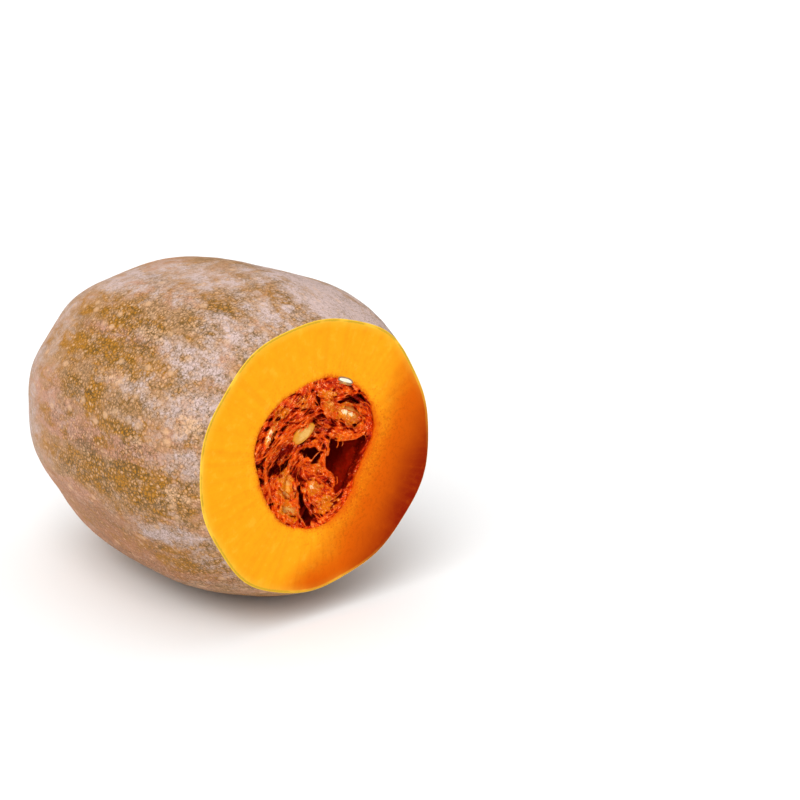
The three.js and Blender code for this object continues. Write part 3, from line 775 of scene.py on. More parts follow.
PALE_AND_HIGHLIGHT_PLACES = [
    (17, 18.5, 5, 2.4, -28, 1.5), (23, 17, 3, 1.6, -30, 0.7), (12, 20.5, 2.4, 1.6, -50, 0.75),
    (14.5, 22.6, 4, 0.8, -15, 0.35), (-18.7, -11, 3.2, 1.2, -80, 0.8), (-19, -7, 2.4, 1.4, -70, 0.3),
    (-22, -10, 3, 1.4, -80, 0.25), (-4.6, -14, 2.2, 1.2, -35, 1.2), (-7, -12.5, 2.6, 1.1, -20, 0.35),
    (-1, -16, 4, 2, -40, 0.2), (-17.5, -22.6, 3.4, 1.1, -40, 0.85), (-21, -20.5, 3, 0.8, -38, 0.3),
    (6, 24, 3, 1.8, -40, 0.6), (15, 28, 2, 1.2, 0, 0.45), (8, 29, 2, 1, 0, 0.35),
    (-28, 16.5, 4, 2, 62, 1.2), (-24.5, 17.5, 2, 0.8, 60, 0.5), (-17.5, 18.5, 1.2, 1.6, 80, 0.5),
    (4, -27, 4.5, 1.6, -15, 0.3), (2, -23, 2.6, 1, -35, 0.2), (-8, 26, 4, 2, 20, 0.25),
    (-20, 25, 3, 2, 40, 0.25), (-20, -16, 3, 2, -60, 0.3),
]
PODS_SHOWN = [  # where wrapped seeds make the pulp smooth and golden
    (17, 18, 8, 5.5, -28, 1), (21, 12.5, 6, 4, -20, 0.5), (-19.5, -10, 8, 5, -80, 1),
    (-19, -22, 7.5, 4, -42, 1), (-4, -15, 6, 4.5, -30, 1), (4, -25, 7, 4.5, 0, 0.9),
    (-20.5, 26, 7, 4, 40, 0.7), (-9, 29, 6, 4, 20, 0.6), (6, 29.5, 8, 3.4, -12, 0.6),
    (6, 23.5, 5, 3, -35, 0.7), (-2, -5.5, 7, 3, -18, 0.5), (14, 7, 7, 2.2, -6, 0.5),
]

# Large holes in the pulp, as outlines of (y, z).
PULP_HOLES = [
    [(5.2, 4.6), (6.2, 7), (8, 6.4), (9.6, 7.2), (11.4, 5.2), (14, 4.3), (18, 4.1), (22, 4), (24.6, 5),
     (28, 4.4), (40, 3), (40, -17), (22, -17.5), (19.6, -16.6), (16, -16.2), (13.8, -18.6),
     (11.2, -19.8), (8.4, -19.4), (7.4, -17.2), (8.8, -16), (10, -14.2), (8, -11), (5.4, -8.4),
     (3.6, -5.6), (3, -2), (4.4, -1.2), (5.8, 0.6), (5.4, 3)],
    [(-11, 5.5), (-9.3, 6.6), (-6.5, 6.3), (-2, 4.6), (-1.6, 3), (0.4, 2), (0.2, -0.5), (-1.8, -2.8),
     (-4.8, -2.3), (-5.2, -0.3), (-7, 1.2), (-9.3, 2.6), (-10.6, 3.8)],
    [(-14.4, -11.4), (-13.3, -12.4), (-12.4, -17), (-12.2, -22), (-11.8, -26), (-10.2, -29), (-9, -32),
     (-8, -35), (-5.4, -35), (-5.6, -30.5), (-6.6, -27), (-8.6, -23), (-10, -19), (-10.6, -15),
     (-12.4, -11.4)],
    [(-15.8, -9.6), (-14.9, -10), (-14.3, -13), (-13.9, -17), (-14.9, -17.4), (-15.6, -14)],
]
PULP_CUPS = [  # deep hollows that end in more pulp: their depth and outline
    (4, [(-30, -2.8), (-26.5, 3.8), (-24, 4), (-23.4, 1.8), (-21, 1.5), (-20, 3), (-17.5, 2.5), (-18.5, 0),
         (-20.5, -2.5), (-24, -3.5), (-29, -3.4)]),
    (3.6, [(-37, 4.8), (-34, 6.8), (-30, 6.5), (-31, 3.5), (-30.5, 1.2), (-33.5, 0.6), (-37, 1.8)]),
    (3.4, [(-38, -3.8), (-33, -2.8), (-30.8, -4), (-31, -8), (-38, -7)]),
    (7, [(10.5, 24.5), (13.5, 25.8), (16.5, 26.8), (20, 27), (23.5, 26.3), (27, 24), (30, 21),
         (32.4, 17.5), (34, 11.5), (31.6, 11.5), (30.4, 16), (28, 18.8), (25, 20.6), (22, 21.8),
         (19, 22.8), (16, 23.4), (12.5, 23.3)]),
    (3.4, [(-3.2, 29.8), (-1.2, 30), (1.2, 27.8), (0.8, 25.4), (-1.2, 25.6), (-2.6, 27.4)]),
]
PULP_PITS = [  # y, z, half length, half width and lean
    (-3.3, 33, 1.2, 0.9, 60), (-27, 24.2, 1.3, 1, 45), (-23, 23.6, 1.9, 1.1, 10),
    (-29.6, 20, 1.7, 0.9, 20), (-15.1, 27.2, 0.55, 0.5, 0), (-13.6, 26.8, 0.45, 0.4, 0),
    (-4.6, 22.6, 1.7, 0.9, 10), (0.5, 20.3, 2.3, 0.8, -10), (-1, 15.3, 2.1, 1.2, 0),
    (1.5, 17.6, 1.2, 0.5, -10), (-1.5, 12.4, 1.6, 0.8, -15), (3.4, 12.8, 1.3, 0.6, -30),
    (2.4, 4.6, 1.9, 1.3, 70), (7.9, 15.6, 1.9, 0.6, -45), (20.4, 11.2, 1.5, 0.9, -15),
    (13.6, 13.8, 1.3, 0.45, -35), (-9, 8.7, 2.1, 0.8, 0), (-3.6, 9.6, 1, 0.5, 0),
    (9.6, 27.4, 0.9, 0.4, 0), (9, 31, 0.9, 0.6, 30), (-28.2, -16.8, 1.2, 0.8, 0),
    (-4.8, -22.8, 1.3, 0.7, -30), (4.8, -13.6, 1.8, 0.9, -40), (9.6, -30.3, 0.8, 0.4, 0),
    (-17.3, 20.6, 2.2, 0.45, -10), (-22.5, 15.3, 1, 0.6, 40), (-9.5, -10.8, 0.8, 0.4, 0),
    (1, 6.6, 0.8, 0.5, 60), (24.2, 27.6, 0.9, 0.5, 0), (-9, 28, 0.6, 0.4, 0), (-19, 29, 0.7, 0.5, 30),
    (15, 32, 0.7, 0.4, 0),
]
PIT_DEPTH = 1.8
DEPTH_REACH = 3.2  # how far a place of PULP_DEPTHS is felt
OPENNESS_REACH = 5  # and one of PULP_OPENNESS
FIBRE_RELIEF = 0.62  # share of the combs' heights that the pulp's front stands out
SKIN_THICK = 1.15  # half the thickness of the pulp's front where it is closed
SKIN_THIN = 0.5  # and where it is open
HOLE_EDGE = 0.5  # how far a hole's edge strays
MAP_REACH = 44  # how far the maps of the pulp reach from the cut's middle
MAP_STEP = 0.22
COMBS = [(2.5, 2.4), (1.2, 1.6), (0.65, 1.0)]  # size of the lumps that are drawn out, and how far
COMB_HEIGHTS = (0.6, 0.45, 0.3)
COMB_STEPS = 7
FRONT_END = 30  # how deep the finely worked pulp reaches


def set_back(depth, y, z):
    """(x, y, z) of what lies at a depth behind the place (y, z) where it shows."""
    return np.stack(np.broadcast_arrays(-depth, y + SIGHT[0] * depth, z + SIGHT[1] * depth), -1)


def shown_at(points):
    """The places (y, z) in the cut face where points behind it show."""
    return points[..., 1] + SIGHT[0] * points[..., 0], points[..., 2] + SIGHT[1] * points[..., 0]


def spread(table, y, z, reach):
    """Values of a table of (y, z, value) between its places: a mean weighted by
    exp(-(distance / reach) ** 2)."""
    places = np.array(table, np.float32)
    gap = np.hypot(y[..., None] - places[:, 0], z[..., None] - places[:, 1]).astype(np.float32)
    weight = np.exp(-((gap / reach) ** 2)) + 1e-5 / (1 + gap**4)
    return (weight * places[:, 2]).sum(-1) / weight.sum(-1)


def leaning_gap(y, z, at_y, at_z, long, wide, lean):
    """Distance from the middle of a leaning ellipse, 1 on its outline."""
    turn = math.radians(lean)
    dy, dz = y - at_y, z - at_z
    along = (math.cos(turn) * dy + math.sin(turn) * dz) / long
    across = (math.cos(turn) * dz - math.sin(turn) * dy) / wide
    return np.hypot(along, across)


def outline_gap(outline, y, z):
    """Distance to a closed outline, negative inside it."""
    corners = np.array(outline, float)
    nearest = np.full(y.shape, 1e9)
    inside = np.zeros(y.shape, bool)
    for (ya, za), (yb, zb) in zip(corners, np.roll(corners, -1, axis=0)):
        dy, dz = yb - ya, zb - za
        share = np.clip(((y - ya) * dy + (z - za) * dz) / (dy * dy + dz * dz), 0, 1)
        nearest = np.minimum(nearest, np.hypot(y - ya - share * dy, z - za - share * dz))
        inside ^= ((za > z) != (zb > z)) & (y < ya + (z - za) * dy / (dz if dz else 1e-9))
    return np.where(inside, -nearest, nearest)


class Relief:
    """Maps of the pulp over the places of the cut face where it shows: the depth of its front,
    how far inside its solid parts a place lies, how thick it is, and its colours."""

    def __init__(self, settings):
        axis = np.arange(-MAP_REACH, MAP_REACH, MAP_STEP)
        self.y, self.z = np.meshgrid(axis, axis, indexing="ij")
        self.places = self.flat(self.y, self.z)
        self.fibre = self.directions() + 0.5 * lumps(self.places, 6, settings.seed)
        combs = [self.combed(size, reach, settings.seed + i) for i, (size, reach) in enumerate(COMBS)]
        self.strand = 0.5 * combs[1] + 0.5 * combs[2]
        self.hair = 0.75 * combs[2] + 0.25 * lumps(self.places, 0.5, 16) / 0.3
        self.gold = self.blots(PODS_SHOWN)

        rise = sum(height * comb for height, comb in zip(COMB_HEIGHTS, combs)) * (1 - 0.7 * self.gold)
        dent = self.dents()
        cup = self.cups(combs[1])
        front = spread(PULP_DEPTHS, self.y, self.z, DEPTH_REACH)
        self.rest = front - 0.8
        self.depth = front - FIBRE_RELIEF * rise + 0.5 * lumps(self.places, 6, 18)
        self.depth = np.maximum(self.depth + PIT_DEPTH * dent + cup, 0.5)
        slope_y, slope_z = np.clip(np.gradient(self.depth, MAP_STEP), -2.5, 2.5)
        along_x = 1 + SIGHT[0] * slope_y + SIGHT[1] * slope_z
        self.steepness = np.sqrt(along_x**2 + slope_y**2 + slope_z**2)

        open_share = spread(PULP_OPENNESS, self.y, self.z, OPENNESS_REACH)
        open_share = open_share * settings.opening * 2 * (1 - self.gold)
        self.hole = self.holes(combs[1])
        self.solid = (0.75 * combs[1] + 0.45 * combs[0] + 2.3 - 2.4 * open_share) * 0.75
        self.solid = np.minimum(self.solid, self.hole)
        thick = SKIN_THICK - (SKIN_THICK - SKIN_THIN) * smooth(0.1, 0.6, open_share)
        rim = np.clip(self.solid / thick, 0, 1)
        self.half = thick * np.sqrt(1 - (1 - rim) ** 2)

        # Painted shade inside holes, pits and cups, joined to the red blots.
        hollow_shade = np.maximum(1.1 * smooth(0.5, -0.6, self.hole), np.maximum(1.2 * dent, 0.2 * cup))
        self.red = np.maximum(self.blots(RED_AND_SHADE_PLACES), hollow_shade)
        self.pale = self.blots(PALE_AND_HIGHLIGHT_PLACES)

    def directions(self):
        """Angles of the fibres between the places of their table: half the angle of the mean
        vector at twice theirs, because the two ways of a fibre are the same."""
        sine, cosine = (
            spread([(y, z, part(2 * math.radians(turn))) for y, z, turn in PULP_FIBRES], self.y, self.z, 6)
            for part in (math.sin, math.cos)
        )
        return np.arctan2(sine, cosine) / 2

    def dents(self):
        """1 in a pit, and 0 outside it past a smooth ragged edge."""
        gaps = [(leaning_gap(self.y, self.z, *pit) - 1) * pit[3] for pit in PULP_PITS]
        return smooth(0.45, -0.35, np.minimum.reduce(gaps) + 0.3 * lumps(self.places, 1.0, 17))

    def cups(self, comb):
        """How much deeper each cup is: its depth times a smooth fall over its ragged outline."""
        sunk = np.zeros(self.y.shape)
        for depth, outline in PULP_CUPS:
            gap = outline_gap(outline, self.y, self.z) + 0.5 * lumps(self.places, 2.2, 14) + 0.2 * comb
            sunk = np.maximum(sunk, depth * smooth(0.7, -0.9, gap))
        return sunk

    def holes(self, comb):
        """Distance to the ragged outline of the nearest hole, negative inside it."""
        stray = lumps(self.places, 2.2, 14) + 0.6 * lumps(self.places, 0.9, 15)
        stray = HOLE_EDGE * stray + 0.2 * comb
        return np.minimum.reduce([outline_gap(hole, self.y, self.z) + stray for hole in PULP_HOLES])

    @staticmethod
    def flat(y, z):
        """Points of the cut face."""
        return np.stack([0 * y, y, z], -1)

    def blots(self, table):
        """Soft ragged blots: the strength times a smooth fall of the distance, the largest one."""
        bent = 0.4 * lumps(self.places, 2.4, 19) + 0.25 * lumps(self.places, 1.0, 20)
        total = np.zeros(self.y.shape)
        for *blot, strength in table:
            gap = leaning_gap(self.y, self.z, *blot) + bent
            total = np.maximum(total, strength * (1 - smooth(0.35, 1.35, gap)))
        return total

    def combed(self, size, reach, seed):
        """Noise drawn out along the fibres: the mean of noise at steps along them both ways,
        scaled to a spread of 1."""
        total = np.zeros(self.y.shape)
        for way in (1, -1):
            y, z = self.y, self.z
            heading = None
            for _ in range(COMB_STEPS):
                total += lumps(self.flat(y, z), size, seed)
                angle = self.fibre[self.cell(y, z)]
                ahead = np.stack([np.cos(angle), np.sin(angle)])
                if heading is not None:
                    ahead *= np.sign((ahead * heading).sum(0) + 1e-9)
                heading = ahead
                y = y + way * reach / COMB_STEPS * ahead[0]
                z = z + way * reach / COMB_STEPS * ahead[1]
        return np.clip(total / total.std(), -2.5, 2.5)

    def cell(self, y, z):
        """Indices of the map's points nearest to places."""
        last = len(self.y) - 1
        rows = np.clip(np.rint((y + MAP_REACH) / MAP_STEP).astype(int), 0, last)
        columns = np.clip(np.rint((z + MAP_REACH) / MAP_STEP).astype(int), 0, last)
        return rows, columns

    def at(self, name, y, z):
        """Values of the named map, blended between its four nearest points."""
        chart = getattr(self, name)
        last = len(self.y) - 1.001
        row = np.clip((y + MAP_REACH) / MAP_STEP, 0, last)
        column = np.clip((z + MAP_REACH) / MAP_STEP, 0, last)
        i, j = row.astype(int), column.astype(int)
        u, v = row - i, column - j
        low = chart[i, j] * (1 - v) + chart[i, j + 1] * v
        high = chart[i + 1, j] * (1 - v) + chart[i + 1, j + 1] * v
        return (low * (1 - u) + high * u).astype(np.float32)


def front_pulp_field(settings, relief):
    """The pulp near the cut: the net, pods and strands grown together, and the wall's lining."""
    step = settings.grid / MM
    field = Field((-FRONT_END, -MAP_REACH, -MAP_REACH), (0.5, MAP_REACH, MAP_REACH), step)
    slices, points = field.whole()
    y, z = shown_at(points)
    depth = -points[..., 0]
    offset = (depth - relief.at("depth", y, z)) / relief.at("steepness", y, z)
    solid = relief.at("solid", y, z)
    half = relief.at("half", y, z)
    field.join(slices, np.where(solid >= 0, np.abs(offset) - half, np.hypot(offset, solid)), 0.3)
    for middle, size, lean, dip in FRONT_PODS:
        field.add_pod(behind_cut([middle])[0], np.array(size) * POD_SWELL, egg_axes(lean, dip, 0), 0.9)
    for radius, path in FRONT_STRANDS:
        curve = smooth_path(behind_cut(path), 6 * len(path))
        wave = 0.25 * radius * np.sin(np.arange(len(curve)) * 1.7)
        field.add_strand(curve, 0.85 * radius + wave, 0.7)
    gap = wall_gap(points)
    hole = relief.at("hole", y, z) + 0.12 * np.maximum(depth - 6, 0)
    field.carve(slices, np.maximum(hole, 1.0 - gap), 0.4)
    grown = smooth(0.3, 2.8, depth) * (1 - smooth(FRONT_END - 6, FRONT_END - 1, depth))
    lining = 1.5 + 0.5 * lumps(points, 3.5, 21) + 0.35 * lumps(points * (0.25, 1, 1), 1.3, 26)
    lining = -0.8 + grown * lining
    field.join(slices, gap - lining, 0.8)
    field.distance -= (0.16 * relief.at("strand", y, z)) * smooth(20, 8, depth)
    field.distance += 0.10 * lumps(points, 1.0, 22) + 0.16 * lumps(points, 2.4, 23)
    for spec in SEED_SPECS:
        wrap_seed(field, *spec[1:])
    field.distance = np.maximum(field.distance, -gap - 0.4)
    field.distance = np.maximum(field.distance, points[..., 0] + 0.15)
    return field


def wrap_seed(field, middle, lean, dip, roll, cover, room):
    """Clears the pulp in front of a seed, and wraps the seed in a torn film: its own distance
    less a thickness that noise takes from nothing to FILM."""
    axes = egg_axes(lean, dip, roll)
    centre = behind_cut([middle])[0]
    reach = max(SEED_SIZE) / 2 + 2
    slices, points = field.window(centre - reach, centre + reach)
    space = egg_gap(points, centre, np.array(SEED_SIZE) * (0.99, 0.99, room), axes)
    behind = ((points - centre) @ axes[2]) * -np.sign(axes[2][0]) - 0.3
    field.carve(slices, np.maximum(space, behind), 0.35)
    gap = egg_gap(points, centre, SEED_SIZE, axes)
    torn = cover - 0.5 + 0.9 * lumps(points, 2.6, 27) + 0.5 * lumps(points, 1.2, 28)
    margin = 0.5 * smooth(0.5, 1.0, gap_across(points, centre, axes))
    film = -0.5 + (0.5 + FILM) * smooth(-0.15, 0.35, torn + margin)
    field.join(slices, gap - film.astype(np.float32), 0.35)


def egg_gap(points, middle, size, axes):
    """Distance to an ellipsoid: (k - 1) * k / g, with k the length of the point over the half
    axes and g its length over their squares."""
    half = np.array(size, np.float32) / 2
    local = (points - middle) @ axes.T
    k = np.linalg.norm(local / half, axis=-1)
    g = np.linalg.norm(local / half**2, axis=-1)
    return ((k - 1) * k / np.maximum(g, 1e-6)).astype(np.float32)


def gap_across(points, middle, axes):
    """How far from a seed's middle a point lies over its flat side, 1 at the seed's edge."""
    local = (points - middle) @ axes.T
    return np.hypot(local[..., 0] / (SEED_SIZE[0] / 2), local[..., 1] / (SEED_SIZE[1] / 2))


def deep_pulp_field(settings):
    """The pulp behind it: cords along the wall that carry pods towards the blossom end."""
    step = settings.deep_grid / MM
    field = Field(*DEEP_CORNERS, step)
    for index, angle in enumerate(WALL_CORDS):
        path = [cord_point(angle, depth) for depth in CORD_DEPTHS] + [CORD_END]
        curve = smooth_path(behind_cut(path), 40)
        curve += 1.6 * np.stack([lumps(curve, 9, 31 + axis + 3 * index) for axis in range(3)], -1)
        field.add_strand(curve, np.full(len(curve), CORD_RADIUS), 1.5)
        for row, depth in enumerate(CORD_PODS):
            middle = cord_point(angle + 9 * (-1) ** row, depth + 6 * (index % 2))
            field.add_pod(behind_cut([middle])[0], CORD_POD_SIZE, egg_axes(angle + 90, 50, 0), 2.0)
    rng = np.random.default_rng(settings.seed + 1)
    for _ in range(DEEP_STRANDS):
        angle = rng.uniform(0, 360)
        depth = rng.uniform(14, 110)
        reach = rng.uniform(0.6, 0.95)
        start = cord_point(angle, depth, reach)
        end = cord_point(angle + rng.uniform(-60, 60), depth + rng.uniform(-14, 14), rng.uniform(0.6, 1.0))
        middle = (np.array(start) + end) / 2 + rng.uniform(-3, 3, 3)
        curve = smooth_path(behind_cut([start, middle, end]), 12)
        field.add_strand(curve, np.full(len(curve), rng.uniform(0.5, 1.1)), 1.2)
    slices, points = field.whole()
    field.distance += 0.35 * lumps(points, 3.2, 24)
    field.distance = np.maximum(field.distance, -wall_gap(points) - 0.8)
    return field


def cord_point(angle, depth, reach=CORD_REACH):
    """(depth, y, z) at a share of the cavity's radius."""
    radius = reach * float(cavity_radius(np.float64(depth), math.radians(angle)))
    x, y, z = around_centre_line(float(depth), radius, math.radians(angle))
    return (-x, y, z)


# ---- seeds

SEED_POWER = 2.3  # bluntness of a seed's outline, 2 for an ellipse
SEED_SIDES = 6  # how flat a seed's sides are, 2 for an ellipsoid
CUT_SEED_SIDES = 2.5
CUT_SEED_SHARES = (0.9, 1.0, 1.45)  # length, width and thickness of the cut seed over the others'
FILM = 0.5  # thickness of the film over a wrapped seed

# Name, middle (depth, y, z), lean, dip and roll in degrees, how covered by film it is, and how
# many times its thickness is cleared around it.
SEED_SPECS = [
    ("seed_cut_by_knife", (2.7, 16.4, 32.9), -29, 14, 66, 0.3, 1.2),
    ("seed_in_the_middle", (3.4, -6.4, 12.3), 22, 4, 16, -0.9, 2.6),
    ("seed_at_left_rim", (4.5, -25.5, 14.2), 46, 18, 58, 0.5, 2.4),
    ("seed_in_upper_pod", (4.8, 21.0, 15.9), -30, 6, -30, 0.55, 2.6),
    ("seed_in_lower_pod", (4.6, -15.6, -24), -50, 6, 30, 0.6, 2.4),
    ("seed_in_left_pod", (5, -15.9, -12.4), 100, 4, -34, 0.62, 2.4),
]


def seed_points(sides, around=48, rows=16):
    """Points of a seed: an egg narrowed at one end, thinner inside its thick margin, and how
    near each is to the middle of a side.

    With r from 0 in the middle of a side to 1 at its edge, the half thickness is
    sqrt(1 - r**sides) * (0.74 + 0.26 * r**4), and the width narrows by 1 - narrowing * x (1 + x) / 2.
    The outline is |x| ** power + |y| ** power = 1.
    """
    length, width, thickness = SEED_SIZE
    share = np.linspace(0, 1, rows) ** 0.8
    turn = np.linspace(0, 2 * np.pi, around, endpoint=False)
    r = np.concatenate([share, share[-2::-1]])[:, None]
    side = np.repeat([1, -1], [rows, rows - 1])[:, None]
    rise = side * np.sqrt(np.maximum(1 - r**sides, 0)) * (0.74 + 0.26 * r**4)
    x = r * np.sign(np.cos(turn)) * np.abs(np.cos(turn)) ** (2 / SEED_POWER)
    taper = 1 - SEED_NARROWING * x * (1 + x) / 2
    y = r * np.sign(np.sin(turn)) * np.abs(np.sin(turn)) ** (2 / SEED_POWER) * taper
    points = np.broadcast_arrays(x * length / 2, y * width / 2, rise * thickness / 2)
    core = np.broadcast_to(1 - r, x.shape)
    return np.stack(points, -1).reshape(-1, 3), core.ravel(), len(r), around


# ---- shader maths


class Value:
    """A number on a shader socket. Python's operators on it add Math nodes."""

    def __init__(self, shader, socket):
        self.shader = shader
        self.socket = socket

    def math(self, operation, *others):
        """One Math node on this value and others."""
        return self.shader.node("Math", {"operation": operation}, dict(enumerate((self, *others))))

    def __add__(self, other):
        return self.math("ADD", other)

    __radd__ = __add__

    def __mul__(self, other):
        return self.math("MULTIPLY", other)

    __rmul__ = __mul__

    def __sub__(self, other):
        return self.math("SUBTRACT", other)

    def __rsub__(self, other):
        return (self * -1) + other

    def most(self, other):
        """The larger of the two."""
        return self.math("MAXIMUM", other)

    def least(self, other):
        """The smaller of the two."""
        return self.math("MINIMUM", other)

    def between(self, low, high):
        """0 below low, 1 above high and smooth between; high may be the smaller one."""
        ends = {"Value": self, "From Min": low, "From Max": high}
        return self.shader.node("MapRange", {"interpolation_type": "SMOOTHSTEP"}, ends)


class Shader:
    """Builds the nodes of one material around a Principled BSDF."""

    def __init__(self, name):
        self.material = bpy.data.materials.new(name)
        self.material.use_nodes = True
        self.tree = self.material.node_tree
        self.surface = self.tree.nodes["Principled BSDF"]
        self.colour = None

    def node(self, kind, settings=None, sockets=None, output=0):
        """Adds a node: its settings first, then the values or links of its sockets."""
        made = self.tree.nodes.new("ShaderNode" + kind)
        for name, setting in (settings or {}).items():
            setattr(made, name, setting)
        for key, value in (sockets or {}).items():
            self.feed(made.inputs[key], value)
        return Value(self, made.outputs[output])

    def feed(self, socket, value):
        """Links a Value to a socket, or sets a plain number or colour on it."""
        if isinstance(value, Value):
            self.tree.links.new(value.socket, socket)
        elif socket.type == "RGBA":
            socket.default_value = (*value, 1)
        else:
            socket.default_value = value

    def set(self, **sockets):
        """Sets or links sockets of the surface, named with underscores for spaces."""
        for name, value in sockets.items():
            self.feed(self.surface.inputs[name.replace("_", " ")], value)

    def place(self):
        """Where on the object it is, in metres."""
        return self.node("TexCoord", output="Object")

    def tint(self, name, output="Fac"):
        """A tint of the mesh's points."""
        return self.node("Attribute", {"attribute_name": name}, output=output)

    def stretched(self, vector, x, y, z):
        """A place scaled along its axes, so that what is laid over it is drawn together."""
        return self.node("Mapping", sockets={"Vector": vector, "Scale": (x, y, z)})

    def noise(self, vector, size, detail=2.0, rough=0.5, twist=0.0):
        """Noise from 0 to 1 with features about `size` millimetres across."""
        grain = {"Detail": detail, "Roughness": rough, "Distortion": twist}
        return self.texture("TexNoise", vector, size, more=grain)

    def texture(self, kind, vector, size, output=0, settings=None, more=None):
        """A texture node whose features are `size` millimetres across."""
        sockets = {"Vector": vector, "Scale": 1 / (size * MM), **(more or {})}
        return self.node(kind, settings, sockets, output)

    def cells(self, vector, size, output="Distance"):
        """Distance to the middle of the cell that a place lies in, or the cell's colour."""
        return self.texture("TexVoronoi", vector, size, output)

    def borders(self, vector, size):
        """Distance to the border of the cell that a place lies in, over the cells' size."""
        return self.texture("TexVoronoi", vector, size, settings={"feature": "DISTANCE_TO_EDGE"})

    def bent(self, vector, size, far):
        """A place moved by up to about `far` millimetres by noise."""
        noise = self.texture("TexNoise", vector, size, "Color")
        moved = self.node("VectorMath", {"operation": "MULTIPLY"}, {0: noise, 1: (far * MM,) * 3})
        return self.node("VectorMath", {"operation": "ADD"}, {0: vector, 1: moved})

    def mix(self, share, first, second):
        """Colour between two: the first where share is 0, the second where it is 1."""
        return self.node("Mix", {"data_type": "RGBA"}, {0: share, 6: first, 7: second}, output=2)

    def paint(self, share, colour):
        """Covers a share of what the surface is painted with so far by another colour."""
        self.colour = self.mix(share, self.colour, colour)

    def bump(self, height, depth, strength=1.0):
        """Normal of a relief that is `depth` millimetres high."""
        return self.node("Bump", sockets={"Height": height, "Distance": depth * MM, "Strength": strength})


# ---- materials


def skin_material(looks):
    """Waxy mottled skin: tan ground that drifts to salmon and rust, ochre mottle and mauve
    bloom, all broken up into small cells with dark borders, and pale spots of three sizes."""
    shader = Shader("squash_skin")
    place = shader.place()
    course = shader.tint("course", "Vector")
    busy = shader.tint("busy")
    drift = shader.noise(course, 9, 5, 0.65, 0.5)
    mottle = shader.noise(course, 7, 5, 0.7, 0.8)
    bloom = shader.noise(shader.stretched(course, 1.4, 1, 1), 6, 5, 0.68, 0.4)
    crumbs = shader.noise(place, 2.2, 3, 0.7)
    grain = shader.noise(place, 0.9, 2, 0.75)
    net = shader.bent(place, 1.3, 1.1)
    tile = shader.cells(net, 1.9, "Color")

    salmon = shader.tint("salmon") * 0.9 + (drift - 0.5) * 3.0 + (tile - 0.5) * 0.5
    shader.colour = looks.tan
    shader.paint(salmon.between(-0.1, 0.9), looks.salmon)
    rust = shader.tint("rust")
    rust = (rust + (mottle - 0.5) * 1.6 - (crumbs - 0.5) * 0.6).between(0.1, 0.8)
    shader.paint(rust, looks.rust)

    ochre = shader.tint("ochre") + (mottle - 0.5) * 3.8 + (tile - 0.5) * 0.5 * busy
    ochre = (ochre + (crumbs - 0.5) * 0.6).between(-0.2, 0.95)
    shader.paint(ochre, looks.ochre)

    bloom = shader.tint("mauve") + (bloom - 0.5) * 3.0 - (tile - 0.5) * 0.5 * busy
    bloom = bloom + (crumbs - 0.5) * 0.8
    mauve = bloom.between(0.0, 1.15) * (1 - ochre * 0.1)
    shader.paint(mauve, looks.mauve)
    shader.paint(bloom.between(0.75, 1.3) * 0.8, looks.bloom)

    peach = shader.tint("peach") * 0.8 - (mottle - 0.5) * 1.6 + (crumbs - 0.5) * 1.6
    peach = peach.between(0.25, 0.85)
    shader.paint(peach * 0.8, looks.peach)

    shade = (drift * -1.5 + crumbs * -1.4 + 1.95).between(0.1, 0.9)
    mesh = shader.borders(net, 1.9).between(0.2, 0.04)
    mesh = mesh * (shade * 0.6 + ochre * 0.35 + 0.15) * busy * (1 - mauve * 0.45)
    dark = (grain + tile * 0.08).between(0.52, 0.66) * (shade * 0.6 + 0.35) * (busy * 0.8 + 0.2)
    shader.paint(drift.between(0.45, 0.3) * busy * 0.25, looks.moss)
    shader.paint(mesh.most(dark).least(0.9), looks.moss)

    hearts = shader.cells(net, 1.9).between(0.45, 0.1) * tile.between(0.35, 0.8) * busy
    dashes = shader.stretched(course, 1.5, 1, 1)
    large = shader.cells(dashes, 6)
    picked = shader.cells(dashes, 6, "Color").between(0.45, 0.6)
    large = (large + (crumbs - 0.5) * 0.3).between(0.32, 0.12) * picked
    small = shader.cells(dashes, 3)
    seen = shader.cells(dashes, 3, "Color").between(0.3, 0.6)
    small = (small + (grain - 0.5) * 0.35).between(0.3, 0.1) * seen
    spots = (large * 0.7).most(small * 0.7).most(hearts * 0.7)
    shader.paint(spots * (1 - shade * 0.3) * (1 - mauve * 0.5), looks.peach)

    cork = shader.tint("cork")
    shader.paint(cork * (0.55 + crumbs * 0.5), looks.scar)

    shader.set(
        Base_Color=shader.colour,
        Roughness=0.5 + (grain * 0.15) + mauve * 0.1,
        Normal=shader.bump(grain * 0.5 + crumbs * 0.5 - mesh * 0.3, 0.2, 0.6),
        Specular_IOR_Level=0.15,
        Sheen_Weight=0.05,
        Sheen_Roughness=0.5,
        Sheen_Tint=(0.95, 0.82, 0.82),
    )
    return shader.material


